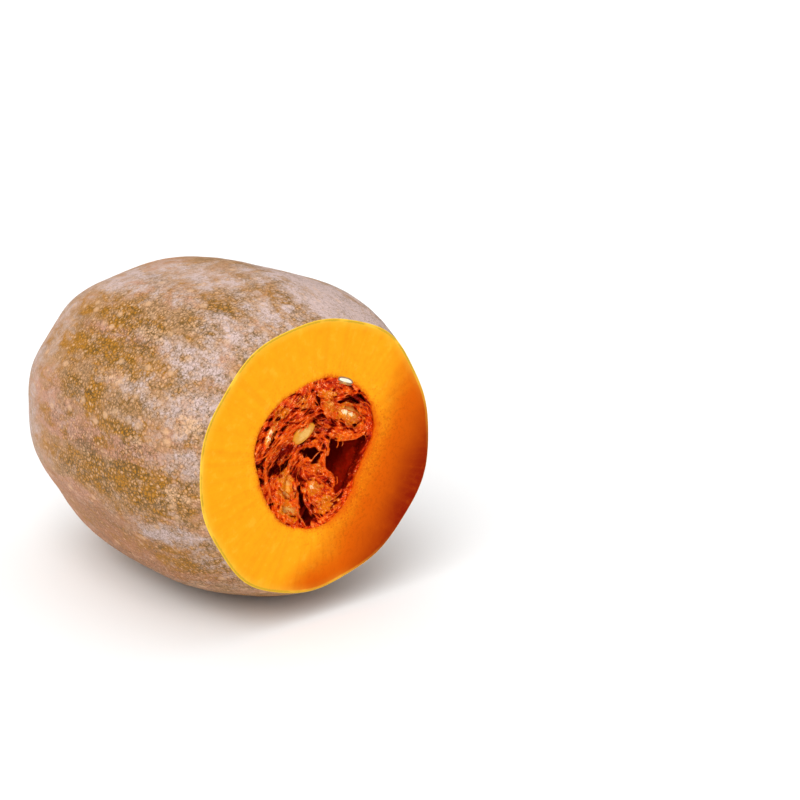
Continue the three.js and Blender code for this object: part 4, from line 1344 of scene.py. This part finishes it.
def flesh_material(looks):
    """Moist cut flesh: deeper towards its ripe side, partly painted shade, and towards the mouth,
    with a pale band and a green line under the skin, and red down the cavity's wall."""
    shader = Shader("squash_flesh")
    place = shader.place()
    from_skin = shader.tint("from_skin")
    from_mouth = shader.tint("from_mouth")
    behind = shader.tint("behind")
    ripeness_and_shade = shader.tint("ripeness_and_shade")
    cloud = shader.noise(place, 14, 3, 0.5)
    grain = shader.noise(place, 0.9, 3, 0.7)
    fibres = shader.noise(shader.tint("rays", "Vector"), 3.2, 3, 0.6)

    # Deeper, redder flesh towards the lower right is partly ripeness and partly painted shade; it also
    # widens the deep ring and its dots at the mouth.
    level = ripeness_and_shade + (cloud - 0.5) * 0.2 + (fibres - 0.5) * 0.08
    shader.colour = looks.flesh
    shader.paint(level.between(-0.05, 0.55), looks.ripe_and_shaded)
    shader.paint(level.between(0.45, 1.1), looks.ripest_and_shaded)
    patch = shader.noise(place, 5, 4, 0.65)
    shader.paint(patch.between(0.5, 0.75) * 0.16, looks.ripe_and_shaded)
    shader.paint(patch.between(0.48, 0.3) * 0.22 * level.between(0.5, 0.0), looks.edge)
    shader.paint((fibres + grain * 0.4).between(0.6, 0.95) * 0.14, looks.ripe_and_shaded)
    shader.paint(from_skin.between(5, 0.8) * 0.25 * level.between(0.8, 0.2), looks.edge)

    width = ripeness_and_shade.most(0) * 12 + 2.4
    ring = (from_mouth + (grain - 0.5) * 6 + (cloud - 0.5) * 3).between(width, -0.8)
    shader.paint(ring * 0.9, looks.inner)
    dots = shader.cells(place, 1.6).between(0.45, 0.2) * grain.between(0.36, 0.56)
    dotted = from_mouth.between(16, 1) * ripeness_and_shade.between(-0.5, 0.4)
    shader.paint(dots * dotted * 0.7, looks.inner)
    rough = shader.noise(place, 1.7, 3, 0.7).between(0.5, 0.62)
    dotted = from_mouth.between(36, 4) * ripeness_and_shade.between(0.05, 0.5)
    shader.paint(rough * dotted * 0.3, looks.ripest_and_shaded)
    light = grain.between(0.5, 0.36) * from_mouth.between(12, 2) * ripeness_and_shade.between(0.0, 0.4)
    shader.paint(light * 0.45, looks.flesh)

    band = (from_skin + (cloud - 0.5) * 1.2 + (grain - 0.5) * 0.6).between(1.8, 0.8)
    shader.paint(band * 0.6 * level.between(1.1, 0.4), looks.edge)
    line = (from_skin + (grain - 0.5) * 1.2).between(1.7, 0.6) * cloud.between(0.36, 0.5)
    shader.paint(line * 0.6 * level.between(0.9, 0.2), looks.green)
    shader.paint((from_skin + (grain - 0.5) * 0.6).between(0.35, 0.15) * 0.6, looks.edge)

    wall = (behind + (grain - 0.5) * 2).between(0.1, 3.0)
    shader.paint(wall * 0.7, looks.inner)
    deep = (behind + (cloud - 0.5) * 3 + (grain - 0.5) * 3).between(1.0, 7)
    shader.paint(deep, looks.wall)

    shader.set(
        Base_Color=shader.colour,
        Roughness=0.45 - wall * 0.12 + grain * 0.1,
        Normal=shader.bump(grain * 0.7 + fibres * 0.3, 0.14, 0.5),
        Specular_IOR_Level=0.02,
        Subsurface_Weight=0.1,
        Subsurface_Radius=(1.0, 0.35, 0.08),
        Subsurface_Scale=0.003,
    )
    return shader.material


def pulp_material(looks):
    """Wet pulp, coloured by how free it stands: nearly black red in the gaps and red in its
    hollows, partly its wet red and partly painted shade, orange on its ridges, pale where it
    is stretched over a seed, and glints that are painted highlights."""
    shader = Shader("squash_pulp")
    place = shader.place()
    behind = shader.tint("behind")
    streak = shader.noise(place, 1.5, 3, 0.65)
    fine = shader.noise(place, 0.6, 2, 0.65)

    hair = shader.tint("hair")
    # The less free a point stands, the darker it is painted: painted shade in gaps and hollows on top of
    # the pulp's wet red.
    free = shader.tint("free") + shader.tint("strand") * 0.16 + hair * 0.12
    free = free + (streak - 0.5) * 0.9 + (fine - 0.5) * 0.9 - shader.tint("red") * 0.75
    shader.colour = looks.dark
    shader.paint(free.between(-0.1, 0.3), looks.valley_and_shade)
    shader.paint(free.between(0.2, 0.6), looks.middle)
    shader.paint(free.between(0.5, 0.85), looks.ridge)
    shader.paint(free.between(0.85, 1.25), looks.glow)
    gold = shader.tint("gold") + (streak - 0.5) * 1.4
    shader.paint(gold.between(0.15, 0.8) * free.between(0.0, 0.5) * 0.8, looks.gold)
    # Pale and cream skin over seeds, partly painted highlights.
    pale = shader.tint("pale") + (streak - 0.5) * 1.2 + (fine - 0.5) * 0.9
    shader.paint(pale.between(0.25, 0.8) * free.between(0.0, 0.4), looks.pale)
    shader.paint(pale.between(0.85, 1.25) * free.between(0.0, 0.4), looks.cream)
    specks = fine.between(0.44, 0.34) * (0.9 - free * 0.4)
    shader.paint(specks * 0.6, looks.valley_and_shade)
    # Painted highlights: pale glints on the freest ridges.
    glints = (fine + hair * 0.06).between(0.58, 0.68) * streak.between(0.42, 0.54)
    shader.paint(glints * free.between(0.2, 0.7) * 0.6, looks.glint)
    shader.paint(behind.between(8, 14) * 0.9, looks.deep)

    shader.set(
        Base_Color=shader.colour,
        Roughness=0.28 + fine * 0.2,
        Normal=shader.bump(streak * 0.5 + fine * 0.5, 0.3, 0.8),
        Specular_IOR_Level=0.0,
        Subsurface_Weight=0.1,
        Subsurface_Radius=(1.0, 0.25, 0.08),
        Subsurface_Scale=0.0015,
        Coat_Weight=(fine + streak * 0.3).between(0.62, 0.74) * 0.35,
        Coat_Roughness=0.11,
    )
    return shader.material


def thread_material(looks):
    """Loose wet fibres, paler than the pulp that they lie on."""
    shader = Shader("pulp_thread")
    streak = shader.noise(shader.place(), 1.8, 3, 0.6)
    colour = shader.mix(streak.between(0.35, 0.62), looks.ridge, looks.thread)
    shader.set(
        Base_Color=colour,
        Roughness=0.25 + streak * 0.1,
        Specular_IOR_Level=0.0,
        Coat_Weight=streak.between(0.5, 0.6) * 0.3,
        Coat_Roughness=0.08,
    )
    return shader.material


def seed_material(name, looks, ground, film):
    """Damp seed coat, paler in the middle of its sides, with pulp that clings to it by the
    given share."""
    shader = Shader(name)
    place = shader.place()
    mottle = shader.noise(place, 2.2, 3, 0.6)
    fine = shader.noise(place, 0.6, 3, 0.65)
    core = shader.tint("core")
    colour = shader.mix((core + (mottle - 0.5) * 1.2).between(0.2, 0.75) * 0.8, ground, looks.cream)
    clinging = ((mottle - 0.5) * 1.6 + (fine - 0.5) * 0.8 + film - core * 0.5).between(0.1, 0.5) * 0.8
    colour = shader.mix(clinging, colour, looks.film)
    shader.set(
        Base_Color=colour,
        Roughness=0.3 + fine * 0.15,
        Normal=shader.bump(mottle * 0.4 + fine * 0.6, 0.14, 0.6),
        Specular_IOR_Level=0.1,
        Subsurface_Weight=0.1,
        Subsurface_Radius=(1.0, 0.6, 0.3),
        Subsurface_Scale=0.001,
        Coat_Weight=fine.between(0.5, 0.6) * 0.4,
        Coat_Roughness=0.1,
    )
    return shader.material


def kernel_material(looks):
    """Sliced kernel: white and smooth, with a faint grain."""
    shader = Shader("seed_kernel")
    fine = shader.noise(shader.place(), 0.8, 2, 0.5)
    colour = shader.mix(fine.between(0.3, 0.8) * 0.2, looks.kernel, looks.cream)
    shader.set(
        Base_Color=colour,
        Roughness=0.4 + fine * 0.1,
        Normal=shader.bump(fine, 0.04, 0.4),
        Subsurface_Weight=0.15,
        Subsurface_Scale=0.001,
    )
    return shader.material


def floor_material(looks):
    """Pale matt board with the faintest cloud."""
    shader = Shader("floor")
    cloud = shader.noise(shader.place(), 400, 2, 0.5)
    pale = tuple(min(1, part * 1.02) for part in looks.floor)
    shader.set(Base_Color=shader.mix(cloud, looks.floor, pale), Roughness=0.9, Specular_IOR_Level=0.1)
    return shader.material


# ---- rind and flesh


def patch_mask(patches, arc, angle, girth, place):
    """Soft ragged ellipses on the skin: for each, strength * smooth fall of the distance over
    its half length and half width, bent by noise; the largest counts."""
    bent = sum(strength * lumps(place, size, seed) for strength, size, seed in PATCH_RAGS)
    mask = np.zeros(arc.shape)
    for at_arc, at_angle, long, wide, strength in patches:
        turn = np.angle(np.exp(1j * (angle - math.radians(at_angle))))
        gap = np.hypot((arc - at_arc) / (long / 2), turn * girth / (wide / 2))
        mask = np.maximum(mask, strength * (1 - smooth(0.2, 1.7, gap + bent)))
    return mask


def unseen_patches(count, seed, low, high):
    """Seeded patches for the sides that the lists leave bare."""
    rng = np.random.default_rng(seed)
    arc = rng.uniform(8, 190, count)
    angle = rng.uniform(*UNSEEN_ANGLES, count)
    long = rng.uniform(18, 60, count)
    wide = rng.uniform(low, high, count)
    return list(zip(arc, angle, long, wide, rng.uniform(0.4, 1.0, count)))


def rind_rows():
    """Arcs of the rings of points along the rind: closer at the cut's edge and at the scar."""
    total = meridian()[0][-1]
    middle = np.linspace(4, total - SCAR_ARC, 112)
    scar = np.linspace(total - SCAR_ARC, total - 0.35, 26)[1:]
    return np.concatenate([EDGE_ARCS, middle, scar])


def rind_part(looks):
    """Rings of the rind's outside, from the cut's edge to the middle of the blossom scar.

    Points lie on the shared outline, less a hollow of unevenness * (1 - noise) / 2, and the
    scar is a rough cork disc raised in its dimple.
    """
    fine_arc, fine_depth, fine_radius = meridian()
    arc = rind_rows()[:, None]
    depth = np.interp(arc, fine_arc, fine_depth)
    girth = np.interp(arc, fine_arc, fine_radius)
    depth, girth, arc, angle = np.broadcast_arrays(depth, girth, arc, TURN[None])
    along, around = COURSE_SIZE
    course = rolled(arc * along, around, angle)

    radius = rind_radius(depth, girth, angle)
    ball = rolled(arc, girth, angle)
    hollow = 0.6 * lumps(ball * (0.6, 1, 1), 13, 43) + 0.4 * lumps(ball, 4.5, 44)
    fade = smooth(0, 3, arc) * smooth(4, 20, girth)
    radius = radius - looks.unevenness / MM * fade * (0.5 - 0.5 * hollow)

    edge = SCAR_RADIUS * (1 + 0.05 * lumps(course, 18, 45) + 0.03 * lumps(course, 6, 46))
    raised = SCAR_HEIGHT * (1 - smooth(edge - 0.5, edge + 0.25, girth))
    rough = (0.22 * lumps(ball, 1.3, 47) + 0.25 * lumps(ball, 3.2, 48)) * (girth < edge)
    sunk = DIMPLE_DEPTH * np.exp(-((girth / DIMPLE_RADIUS) ** 2))
    x = -depth + sunk - raised * 0.9 + np.maximum(rough, -0.1)
    points = around_centre_line(depth, radius, angle, x)
    points[..., 2] = np.maximum(points[..., 2], -FACE_CENTRE[2])

    tints = {
        name: patch_mask(patches + unseen_patches(*UNSEEN_PATCHES[name]), arc, angle, girth, ball)
        for name, patches in SKIN_PATCHES.items()
    }
    tints["ochre"] -= 0.12 * np.cos(RIB_COUNT * (angle - math.radians(RIB_AT)))
    tints["course"] = course * MM
    tints["busy"] = (1 - tints.pop("calm")) * (1 - 0.65 * smooth(*CALM_ARCS, arc))
    tints["cork"] = 1 - smooth(SCAR_RADIUS * 0.9, SCAR_RADIUS * 1.35, girth)
    return points, tints


def flesh_part(rim, looks):
    """Rings of the cut face from the rind's edge to the mouth, and of the cavity's wall.

    On the face, points go straight from the rim to the mouth. The mouth's edge is the cavity's
    outline moved by noise and turned in over its first millimetre. The wall is the cavity's
    surface with streaks along it.
    """
    mouth = around_centre_line(0.0, cavity_radius(0.0, TURN), TURN)[:, 1:]
    loop = rolled(0, 30, TURN)
    stray = looks.raggedness / MM * (0.6 * lumps(loop, 3.2, 61) + 0.5 * lumps(loop, 1.4, 62))
    outward = rolled(0, 1, TURN)[:, 1:]
    mouth = mouth + stray[:, None] * outward
    shares = np.concatenate(
        [[0, 0.012, 0.03, 0.055, 0.09], np.linspace(0.15, 0.86, 12), [0.91, 0.95, 0.98, 1]])
    rim_inner = rim[:, 1:] - RIM_ROUNDING * outward
    face = rim_inner + shares[:, None, None] * (mouth - rim_inner)
    width = np.hypot(*(mouth - rim_inner).T)
    from_skin = shares[:, None] * width + 0.1
    from_mouth = (1 - shares[:, None]) * width
    face = np.concatenate([np.zeros(face.shape[:2] + (1,)), face], -1)
    face[..., 0] -= RIM_ROUNDING * smooth(2.4, 0.0, from_mouth)

    bottom = CAVITY_DEPTH - (CAVITY_DEPTH - WALL_END) * np.linspace(0.75, 0.02, 6) ** 2
    even = [np.geomspace(2.5, 24, 14), np.linspace(27, WALL_END, 15)]
    depth = np.concatenate([[0.35, 0.9, 1.6], *even, bottom])[:, None]
    radius = cavity_radius(depth, TURN[None])
    points = around_centre_line(depth, radius, TURN[None])
    streaks = lumps(points * (0.12, 1, 1), 1.7, 63) + 0.7 * lumps(points * (0.3, 1, 1), 4.5, 64)
    grown = smooth(0.3, 7, depth) * smooth(6, 20, radius)
    radius = radius + stray[None] * (1 - smooth(0.3, 5, depth)) - 0.35 * grown * streaks
    wall = around_centre_line(depth, radius, TURN[None])
    return face, wall, from_skin, from_mouth, depth


class SQUASH_OT_rind_and_flesh(bpy.types.Operator):
    """Make the rind, the cut face and the cavity's wall as one closed piece"""

    bl_idname = "squash.rind_and_flesh"
    bl_label = "Rind and flesh"

    def execute(self, context):
        rind_looks = context.scene.squash_rind
        rind, tints = rind_part(rind_looks)
        rim = rind[0]
        face, wall, from_skin, from_mouth, depth = flesh_part(rim, rind_looks)
        rings = [rind[::-1], face, wall]
        rows = sum(len(part) for part in rings)
        points = np.concatenate([part.reshape(-1, 3) for part in rings])
        scar_middle = rind[-1].mean(0) + (-0.05, 0, 0)
        bottom = wall[-1].mean(0) + (-0.05, 0, 0)
        points = np.concatenate([points, [scar_middle, bottom]])
        step = np.arange(AROUND)
        after = (step + 1) % AROUND
        last = (rows - 1) * AROUND
        scar_cap = np.stack([np.full(AROUND, rows * AROUND), after, step], -1)
        cavity_cap = np.stack([np.full(AROUND, rows * AROUND + 1), last + step, last + after], -1)
        quads = ring_faces(rows, AROUND, flipped=True)
        skin_quads = (len(rind) - 1) * AROUND
        counts = [skin_quads, len(quads) - skin_quads, AROUND, AROUND]
        slots = np.repeat([0, 1, 0, 1], counts)

        count_rind, count_face, count_wall = (part.shape[0] * AROUND for part in rings)
        all_tints = {}
        for name, values in tints.items():
            flat = values[::-1].reshape((count_rind,) + values.shape[2:])
            blank = np.zeros((count_face + count_wall + 2,) + flat.shape[1:])
            all_tints[name] = np.concatenate([flat, blank])
        y, z = points[:, 1], points[:, 2]
        all_tints["from_skin"] = np.concatenate(
            [np.zeros(count_rind), from_skin.ravel(), np.full(count_wall + 2, FAR)])
        all_tints["from_mouth"] = np.concatenate(
            [np.full(count_rind, FAR), from_mouth.ravel(), np.zeros(count_wall + 2)])
        all_tints["behind"] = np.concatenate(
            [np.zeros(count_rind + count_face), np.repeat(depth, AROUND), [0, CAVITY_DEPTH]])
        # Ripeness and painted shade grow towards the lower right and the lowest flesh.
        lowest = LOWEST_RIPE_AND_SHADE * smooth(-40, -64, z) * smooth(-60, -30, y) * smooth(12, -10, y)
        far = RIPE_AND_SHADE_WAY[0] * y + RIPE_AND_SHADE_WAY[1] * z + lowest
        all_tints["ripeness_and_shade"] = np.clip((far - RIPE_AND_SHADE_FROM) / RIPE_AND_SHADE_OVER, -0.2, 1.3)
        all_tints["rays"] = rolled(0.012 * np.hypot(y, z), 60, np.arctan2(z, y)) * MM
        materials = [skin_material(rind_looks), flesh_material(context.scene.squash_flesh)]
        make_piece(
            "rind_and_flesh", points, [quads, scar_cap, cavity_cap], materials,
            ["squash_half"], all_tints, slots,
        )
        return {"FINISHED"}


# ---- pulp and seeds as pieces


def pulp_pieces(slabs, field, reach, relief, material):
    """Meshes each named slab of a field of pulp. Its tints say how free of other pulp a point
    stands, from how crowded it is `reach` grid steps around and in front of it, which the
    material turns into painted shade, and what the maps hold there."""
    near = field.crowding(reach)
    far = field.crowding(2 * reach + 2)
    for name, (first, last) in slabs.items():
        points, quads = largest_island(*surface_net(field.slab(first, last)))
        tints = pulp_tints(points, field, near, far, reach, relief)
        make_piece(name, points, [quads], [material], ["pulp"], tints)


def pulp_tints(points, field, near, far, reach, relief):
    """Free is 1 where little pulp is near in front, and lower values get painted shade; the maps fade
    behind the front pulp.
    """
    near = read_at(field, near, points + (0.8 * reach * field.step, 0, 0))
    far = read_at(field, far, points + (1.8 * reach * field.step, 0, 0))
    y, z = shown_at(points)
    shallow = smooth(16, 9, -points[:, 0])
    tints = {name: relief.at(name, y, z) * shallow for name in ("strand", "hair", "pale", "gold", "red")}
    tints["free"] = smooth(0.62, 0.12, near) * 0.55 + smooth(0.45, 0.05, far) * 0.45
    tints["behind"] = -points[:, 0]
    return tints


def front_depth(field, y, z):
    """Depth of the first pulp behind each place, along the line of sight."""
    depth = np.full(y.shape, np.nan)
    for step in np.arange(FRONT_SEARCH, 0, -0.2):
        inside = read_at(field, field.distance, set_back(step, y, z).reshape(-1, 3)) < 0
        depth[inside.reshape(y.shape)] = step
    return depth


def tube(path, radii):
    """Points and quads of a tube around a path: rings of TUBE_SIDES points across the path's
    slope, drawn together at both ends."""
    slope = np.gradient(path, axis=0)
    slope /= np.linalg.norm(slope, axis=1)[:, None] + 1e-9
    side = np.cross(slope, (1.0, 0.03, 0.02))
    side /= np.linalg.norm(side, axis=1)[:, None] + 1e-9
    lift = np.cross(slope, side)
    turn = np.linspace(0, 2 * np.pi, TUBE_SIDES, endpoint=False)[None, :, None]
    outward = np.cos(turn) * side[:, None] + np.sin(turn) * lift[:, None]
    rings = path[:, None] + radii[:, None, None] * outward
    quads = ring_faces(len(path), TUBE_SIDES, flipped=True)
    first = np.arange(TUBE_SIDES)
    ends = np.stack([first[::-1], first + (len(path) - 1) * TUBE_SIDES])
    return rings.reshape(-1, 3), quads, ends


def listed_threads(field, relief):
    """Paths and radii of the listed threads: curves through their places, at the depth of the
    pulp that they lie on, made even over seven steps."""
    paths = []
    for radius, path in THREADS:
        flat = smooth_path([(0, y, z) for y, z in path], 10 * len(path))
        wander = 0.35 * np.stack([lumps(flat, 2.2, 71), lumps(flat, 2.2, 72)], -1)
        y, z = (flat[:, 1:] + wander).T
        found = front_depth(field, y, z)
        held = relief.at("rest", y, z)
        depth = np.where(np.isnan(found), held, np.minimum(found, held + 1)) - 0.3 * radius
        depth = np.convolve(np.pad(depth, 3, mode="edge"), np.full(7, 1 / 7), mode="valid")
        paths.append((set_back(np.maximum(depth, 0.6), y, z), radius))
    return paths


def loose_fibres(field, relief, rng):
    """Paths and radii of short fibres over the pulp: random walks along its own fibres."""
    paths = []
    for _ in range(FIBRE_COUNT):
        angle = rng.uniform(0, 2 * np.pi)
        reach = FIBRE_REACH * math.sqrt(rng.uniform())
        y, z = np.array([reach * math.cos(angle)]), np.array([reach * math.sin(angle)])
        line = [(y[0], z[0])]
        heading = relief.fibre[relief.cell(y, z)][0] + (math.pi if rng.uniform() < 0.5 else 0)
        for _ in range(FIBRE_STEPS):
            angle = relief.fibre[relief.cell(y, z)][0]
            angle += math.pi * round((heading - angle) / math.pi)
            heading = angle + rng.normal(0, 0.16)
            stride = rng.uniform(*FIBRE_STRETCH) / FIBRE_STEPS
            y, z = y + stride * math.cos(heading), z + stride * math.sin(heading)
            line.append((y[0], z[0]))
        y, z = np.array(line).T
        found = front_depth(field, y, z)
        in_hole = (relief.at("hole", y, z) < 0.2).mean() > 0.4
        if in_hole or np.isnan(found).mean() > 0.5 or (wall_gap(set_back(found, y, z)) < 0.3).any():
            continue
        held = relief.at("rest", y, z)
        depth = np.where(np.isnan(found), held, found)
        depth = np.maximum(depth + rng.uniform(-0.35, 0.05), 0.5)
        paths.append((set_back(depth, y, z), rng.uniform(*FIBRE_RADIUS)))
    return paths


class SQUASH_OT_front_pulp(bpy.types.Operator):
    """Make the pulp that shows in the mouth: a torn skin of fibres, wrapped seeds, cords and
    the lining of the wall, with loose threads over it"""

    bl_idname = "squash.front_pulp"
    bl_label = "Front pulp"

    def execute(self, context):
        looks = context.scene.squash_pulp
        relief = Relief(looks)
        field = front_pulp_field(looks, relief)
        pulp_pieces(FRONT_SLABS, field, CROWD_REACH, relief, pulp_material(looks))
        rng = np.random.default_rng(looks.seed + 2)
        points, quads, ends, count = [], [], [], 0
        for path, radius in listed_threads(field, relief) + loose_fibres(field, relief, rng):
            share = np.linspace(0, 1, len(path))
            radii = radius * (0.25 + 0.75 * np.sin(np.pi * share) ** 0.35)
            rings, sides, caps = tube(path, radii)
            points.append(rings)
            quads.append(sides + count)
            ends.append(caps + count)
            count += len(rings)
        faces = [np.concatenate(quads), np.concatenate(ends)]
        make_piece("pulp_threads", np.concatenate(points), faces, [thread_material(looks)], ["pulp"])
        return {"FINISHED"}


class SQUASH_OT_deep_pulp(bpy.types.Operator):
    """Make the cords and wrapped seeds along the cavity's wall"""

    bl_idname = "squash.deep_pulp"
    bl_label = "Deep pulp"

    def execute(self, context):
        looks = context.scene.squash_pulp
        material = bpy.data.materials["squash_pulp"]
        pulp_pieces(DEEP_SLABS, deep_pulp_field(looks), CROWD_REACH, Relief(looks), material)
        return {"FINISHED"}


class SQUASH_OT_seeds(bpy.types.Operator):
    """Make the bare seeds, the first of them sliced flush with the cut"""

    bl_idname = "squash.seeds"
    bl_label = "Seeds"

    def execute(self, context):
        looks = context.scene.squash_seeds
        bare = seed_material("seed_bare", looks, looks.coat, 0.0)
        wrapped = seed_material("seed_wrapped", looks, looks.film, 0.3)
        sliced = seed_material("seed_sliced", looks, looks.shell, -0.2)
        kernel = kernel_material(looks)
        coats = {"seed_cut_by_knife": [sliced, kernel], "seed_in_the_middle": [bare]}
        for name, middle, lean, dip, roll, _, _ in SEED_SPECS:
            cut = name == "seed_cut_by_knife"
            local, core, rows, around = seed_points(CUT_SEED_SIDES if cut else SEED_SIDES)
            local = local * (CUT_SEED_SHARES if cut else 1)
            points = local @ egg_axes(lean, dip, roll) + behind_cut([middle])[0]
            if not cut:
                points[:, 0] = np.minimum(points[:, 0], -0.05)
            piece = make_piece(
                name + "_look", points, [ring_faces(rows, around)], coats.get(name, [wrapped]),
                [name], {"core": core},
            )
            weld_poles(piece)
            if cut:
                slice_seed(piece)
        return {"FINISHED"}


def weld_poles(piece):
    """Joins the points that meet at a shape's two poles."""
    shape = bmesh.new()
    shape.from_mesh(piece.data)
    bmesh.ops.remove_doubles(shape, verts=shape.verts, dist=1e-6)
    bmesh.ops.recalc_face_normals(shape, faces=shape.faces)
    shape.to_mesh(piece.data)
    shape.free()


def slice_seed(piece):
    """Cuts a seed flush with the cut face, and gives the flat its kernel inside the coat."""
    cut = placed(np.array([-0.02, 0, 0]))
    shape = bmesh.new()
    shape.from_mesh(piece.data)
    sliced = bmesh.ops.bisect_plane(
        shape, geom=shape.verts[:] + shape.edges[:] + shape.faces[:], plane_co=cut, plane_no=(1, 0, 0),
        clear_outer=True,
    )
    edges = [part for part in sliced["geom_cut"] if isinstance(part, bmesh.types.BMEdge)]
    flat = bmesh.ops.contextual_create(shape, geom=edges)["faces"]
    bmesh.ops.inset_region(shape, faces=flat, thickness=0.62 * MM, use_even_offset=True)
    for face in flat:
        face.material_index = 1
    bmesh.ops.recalc_face_normals(shape, faces=shape.faces)
    for face in shape.faces:
        face.smooth = face.material_index == 0 and abs(face.normal.x) < 0.999
    shape.to_mesh(piece.data)
    shape.free()


# ---- stage

AIM = (0, -2.466, 0.611)  # point of the cut that the camera's aim is given for
AIM_PIXEL = (315, 457)  # where that point stands in the render
RENDER_SIDE = 800
LENS = 85
SENSOR = 36
FLOOR_HALF = 6  # half the floor's side in metres
KEY_LIGHT = ((0.5, -0.75, 1.0), 50)  # way to the light and the angle in degrees that it fills
TOP_LIGHT = ((-0.1, 0.1, 1.0), 60)
GLINT_LIGHT = ((1.0, -0.15, 0.9), 6)


class SQUASH_OT_stage(bpy.types.Operator):
    """Make the floor, the lights and the camera"""

    bl_idname = "squash.stage"
    bl_label = "Stage"

    def execute(self, context):
        looks = context.scene.squash_stage
        scene = context.scene
        mesh = bpy.data.meshes.new("floor")
        corners = [(-1, -1, 0), (1, -1, 0), (1, 1, 0), (-1, 1, 0)]
        mesh.from_pydata([[FLOOR_HALF * part for part in corner] for corner in corners], [], [(0, 1, 2, 3)])
        mesh.materials.append(floor_material(looks))
        floor = add_object("floor", mesh)
        self.camera(scene, looks)
        key = self.sun("key_light", *KEY_LIGHT, looks.key)
        top = self.sun("top_light", *TOP_LIGHT, looks.top)
        glint = self.sun("glint_light", *GLINT_LIGHT, looks.glint)
        glint.visible_diffuse = False
        key.visible_glossy = top.visible_glossy = False
        world = bpy.data.worlds.new("white_room")
        world.use_nodes = True
        sky = world.node_tree.nodes["Background"].inputs
        sky["Color"].default_value = (1, 1, 1, 1)
        sky["Strength"].default_value = looks.sky
        world.cycles_visibility.glossy = False
        scene.world = world
        scene.view_settings.view_transform = "Standard"
        return {"FINISHED"}

    def camera(self, scene, looks):
        """Stands so that the aim point falls on its pixel: aim + distance * (back - right * x -
        up * y), with x and y the pixel's offsets from the render's middle over the focal length."""
        turn, rise = looks.azimuth, looks.elevation
        back = Vector((math.sin(turn) * math.cos(rise), -math.cos(turn) * math.cos(rise), math.sin(rise)))
        right = Vector((math.cos(turn), math.sin(turn), 0))
        up = back.cross(right)
        focal = LENS / SENSOR * RENDER_SIDE
        x = (AIM_PIXEL[0] - RENDER_SIDE / 2) / focal
        y = -(AIM_PIXEL[1] - RENDER_SIDE / 2) / focal
        lens = bpy.data.cameras.new("camera")
        lens.lens = LENS
        lens.sensor_width = SENSOR
        camera = add_object("camera", lens)
        aim = Vector(placed(np.array(AIM)))
        axes = Matrix((right, up, back)).transposed().to_4x4()
        camera.matrix_world = Matrix.Translation(aim + looks.distance * (back - right * x - up * y)) @ axes
        scene.camera = camera

    def sun(self, name, way, spread_angle, power):
        """Light from far away in the given direction, soft by the angle that its source fills."""
        lamp = bpy.data.lights.new(name, "SUN")
        lamp.angle = math.radians(spread_angle)
        lamp.energy = power
        light = add_object(name, lamp)
        light.rotation_euler = (-Vector(way)).to_track_quat("-Z", "Y").to_euler()
        return light


# ---- panel and registration


class SQUASH_PT_panel(bpy.types.Panel):
    """Lists the squash's pieces and their settings"""

    bl_label = "Butternut squash"
    bl_idname = "SQUASH_PT_panel"
    bl_space_type = "VIEW_3D"
    bl_region_type = "UI"
    bl_category = "Squash"

    def draw(self, context):
        for label, settings, _, operators in PANEL_ROWS:
            box = self.layout.box()
            box.label(text=label)
            group = getattr(context.scene, settings)
            for name in group.bl_rna.properties.keys():
                if name not in ("rna_type", "name"):
                    box.prop(group, name)
            for operator in operators:
                box.operator(operator.bl_idname)


PANEL_ROWS = [  # label, settings on the scene, their class and the operators that use them
    ("Stage", "squash_stage", StageSettings, [SQUASH_OT_stage]),
    ("Rind", "squash_rind", RindSettings, []),
    ("Flesh", "squash_flesh", FleshSettings, [SQUASH_OT_rind_and_flesh]),
    ("Pulp", "squash_pulp", PulpSettings, [SQUASH_OT_front_pulp, SQUASH_OT_deep_pulp]),
    ("Seeds", "squash_seeds", SeedSettings, [SQUASH_OT_seeds]),
]
OPERATORS = [operator for row in PANEL_ROWS for operator in row[-1]]
CLASSES = [row[2] for row in PANEL_ROWS] + OPERATORS + [SQUASH_PT_panel]


def register():
    for item in CLASSES:
        bpy.utils.register_class(item)
    for _, settings, group, _ in PANEL_ROWS:
        setattr(bpy.types.Scene, settings, PointerProperty(type=group))


def unregister():
    for _, settings, _, _ in PANEL_ROWS:
        delattr(bpy.types.Scene, settings)
    for item in reversed(CLASSES):
        bpy.utils.unregister_class(item)


def main():
    register()
    for operator in OPERATORS:
        group, name = operator.bl_idname.split(".")
        getattr(getattr(bpy.ops, group), name)()


if __name__ == "__main__":
    main()
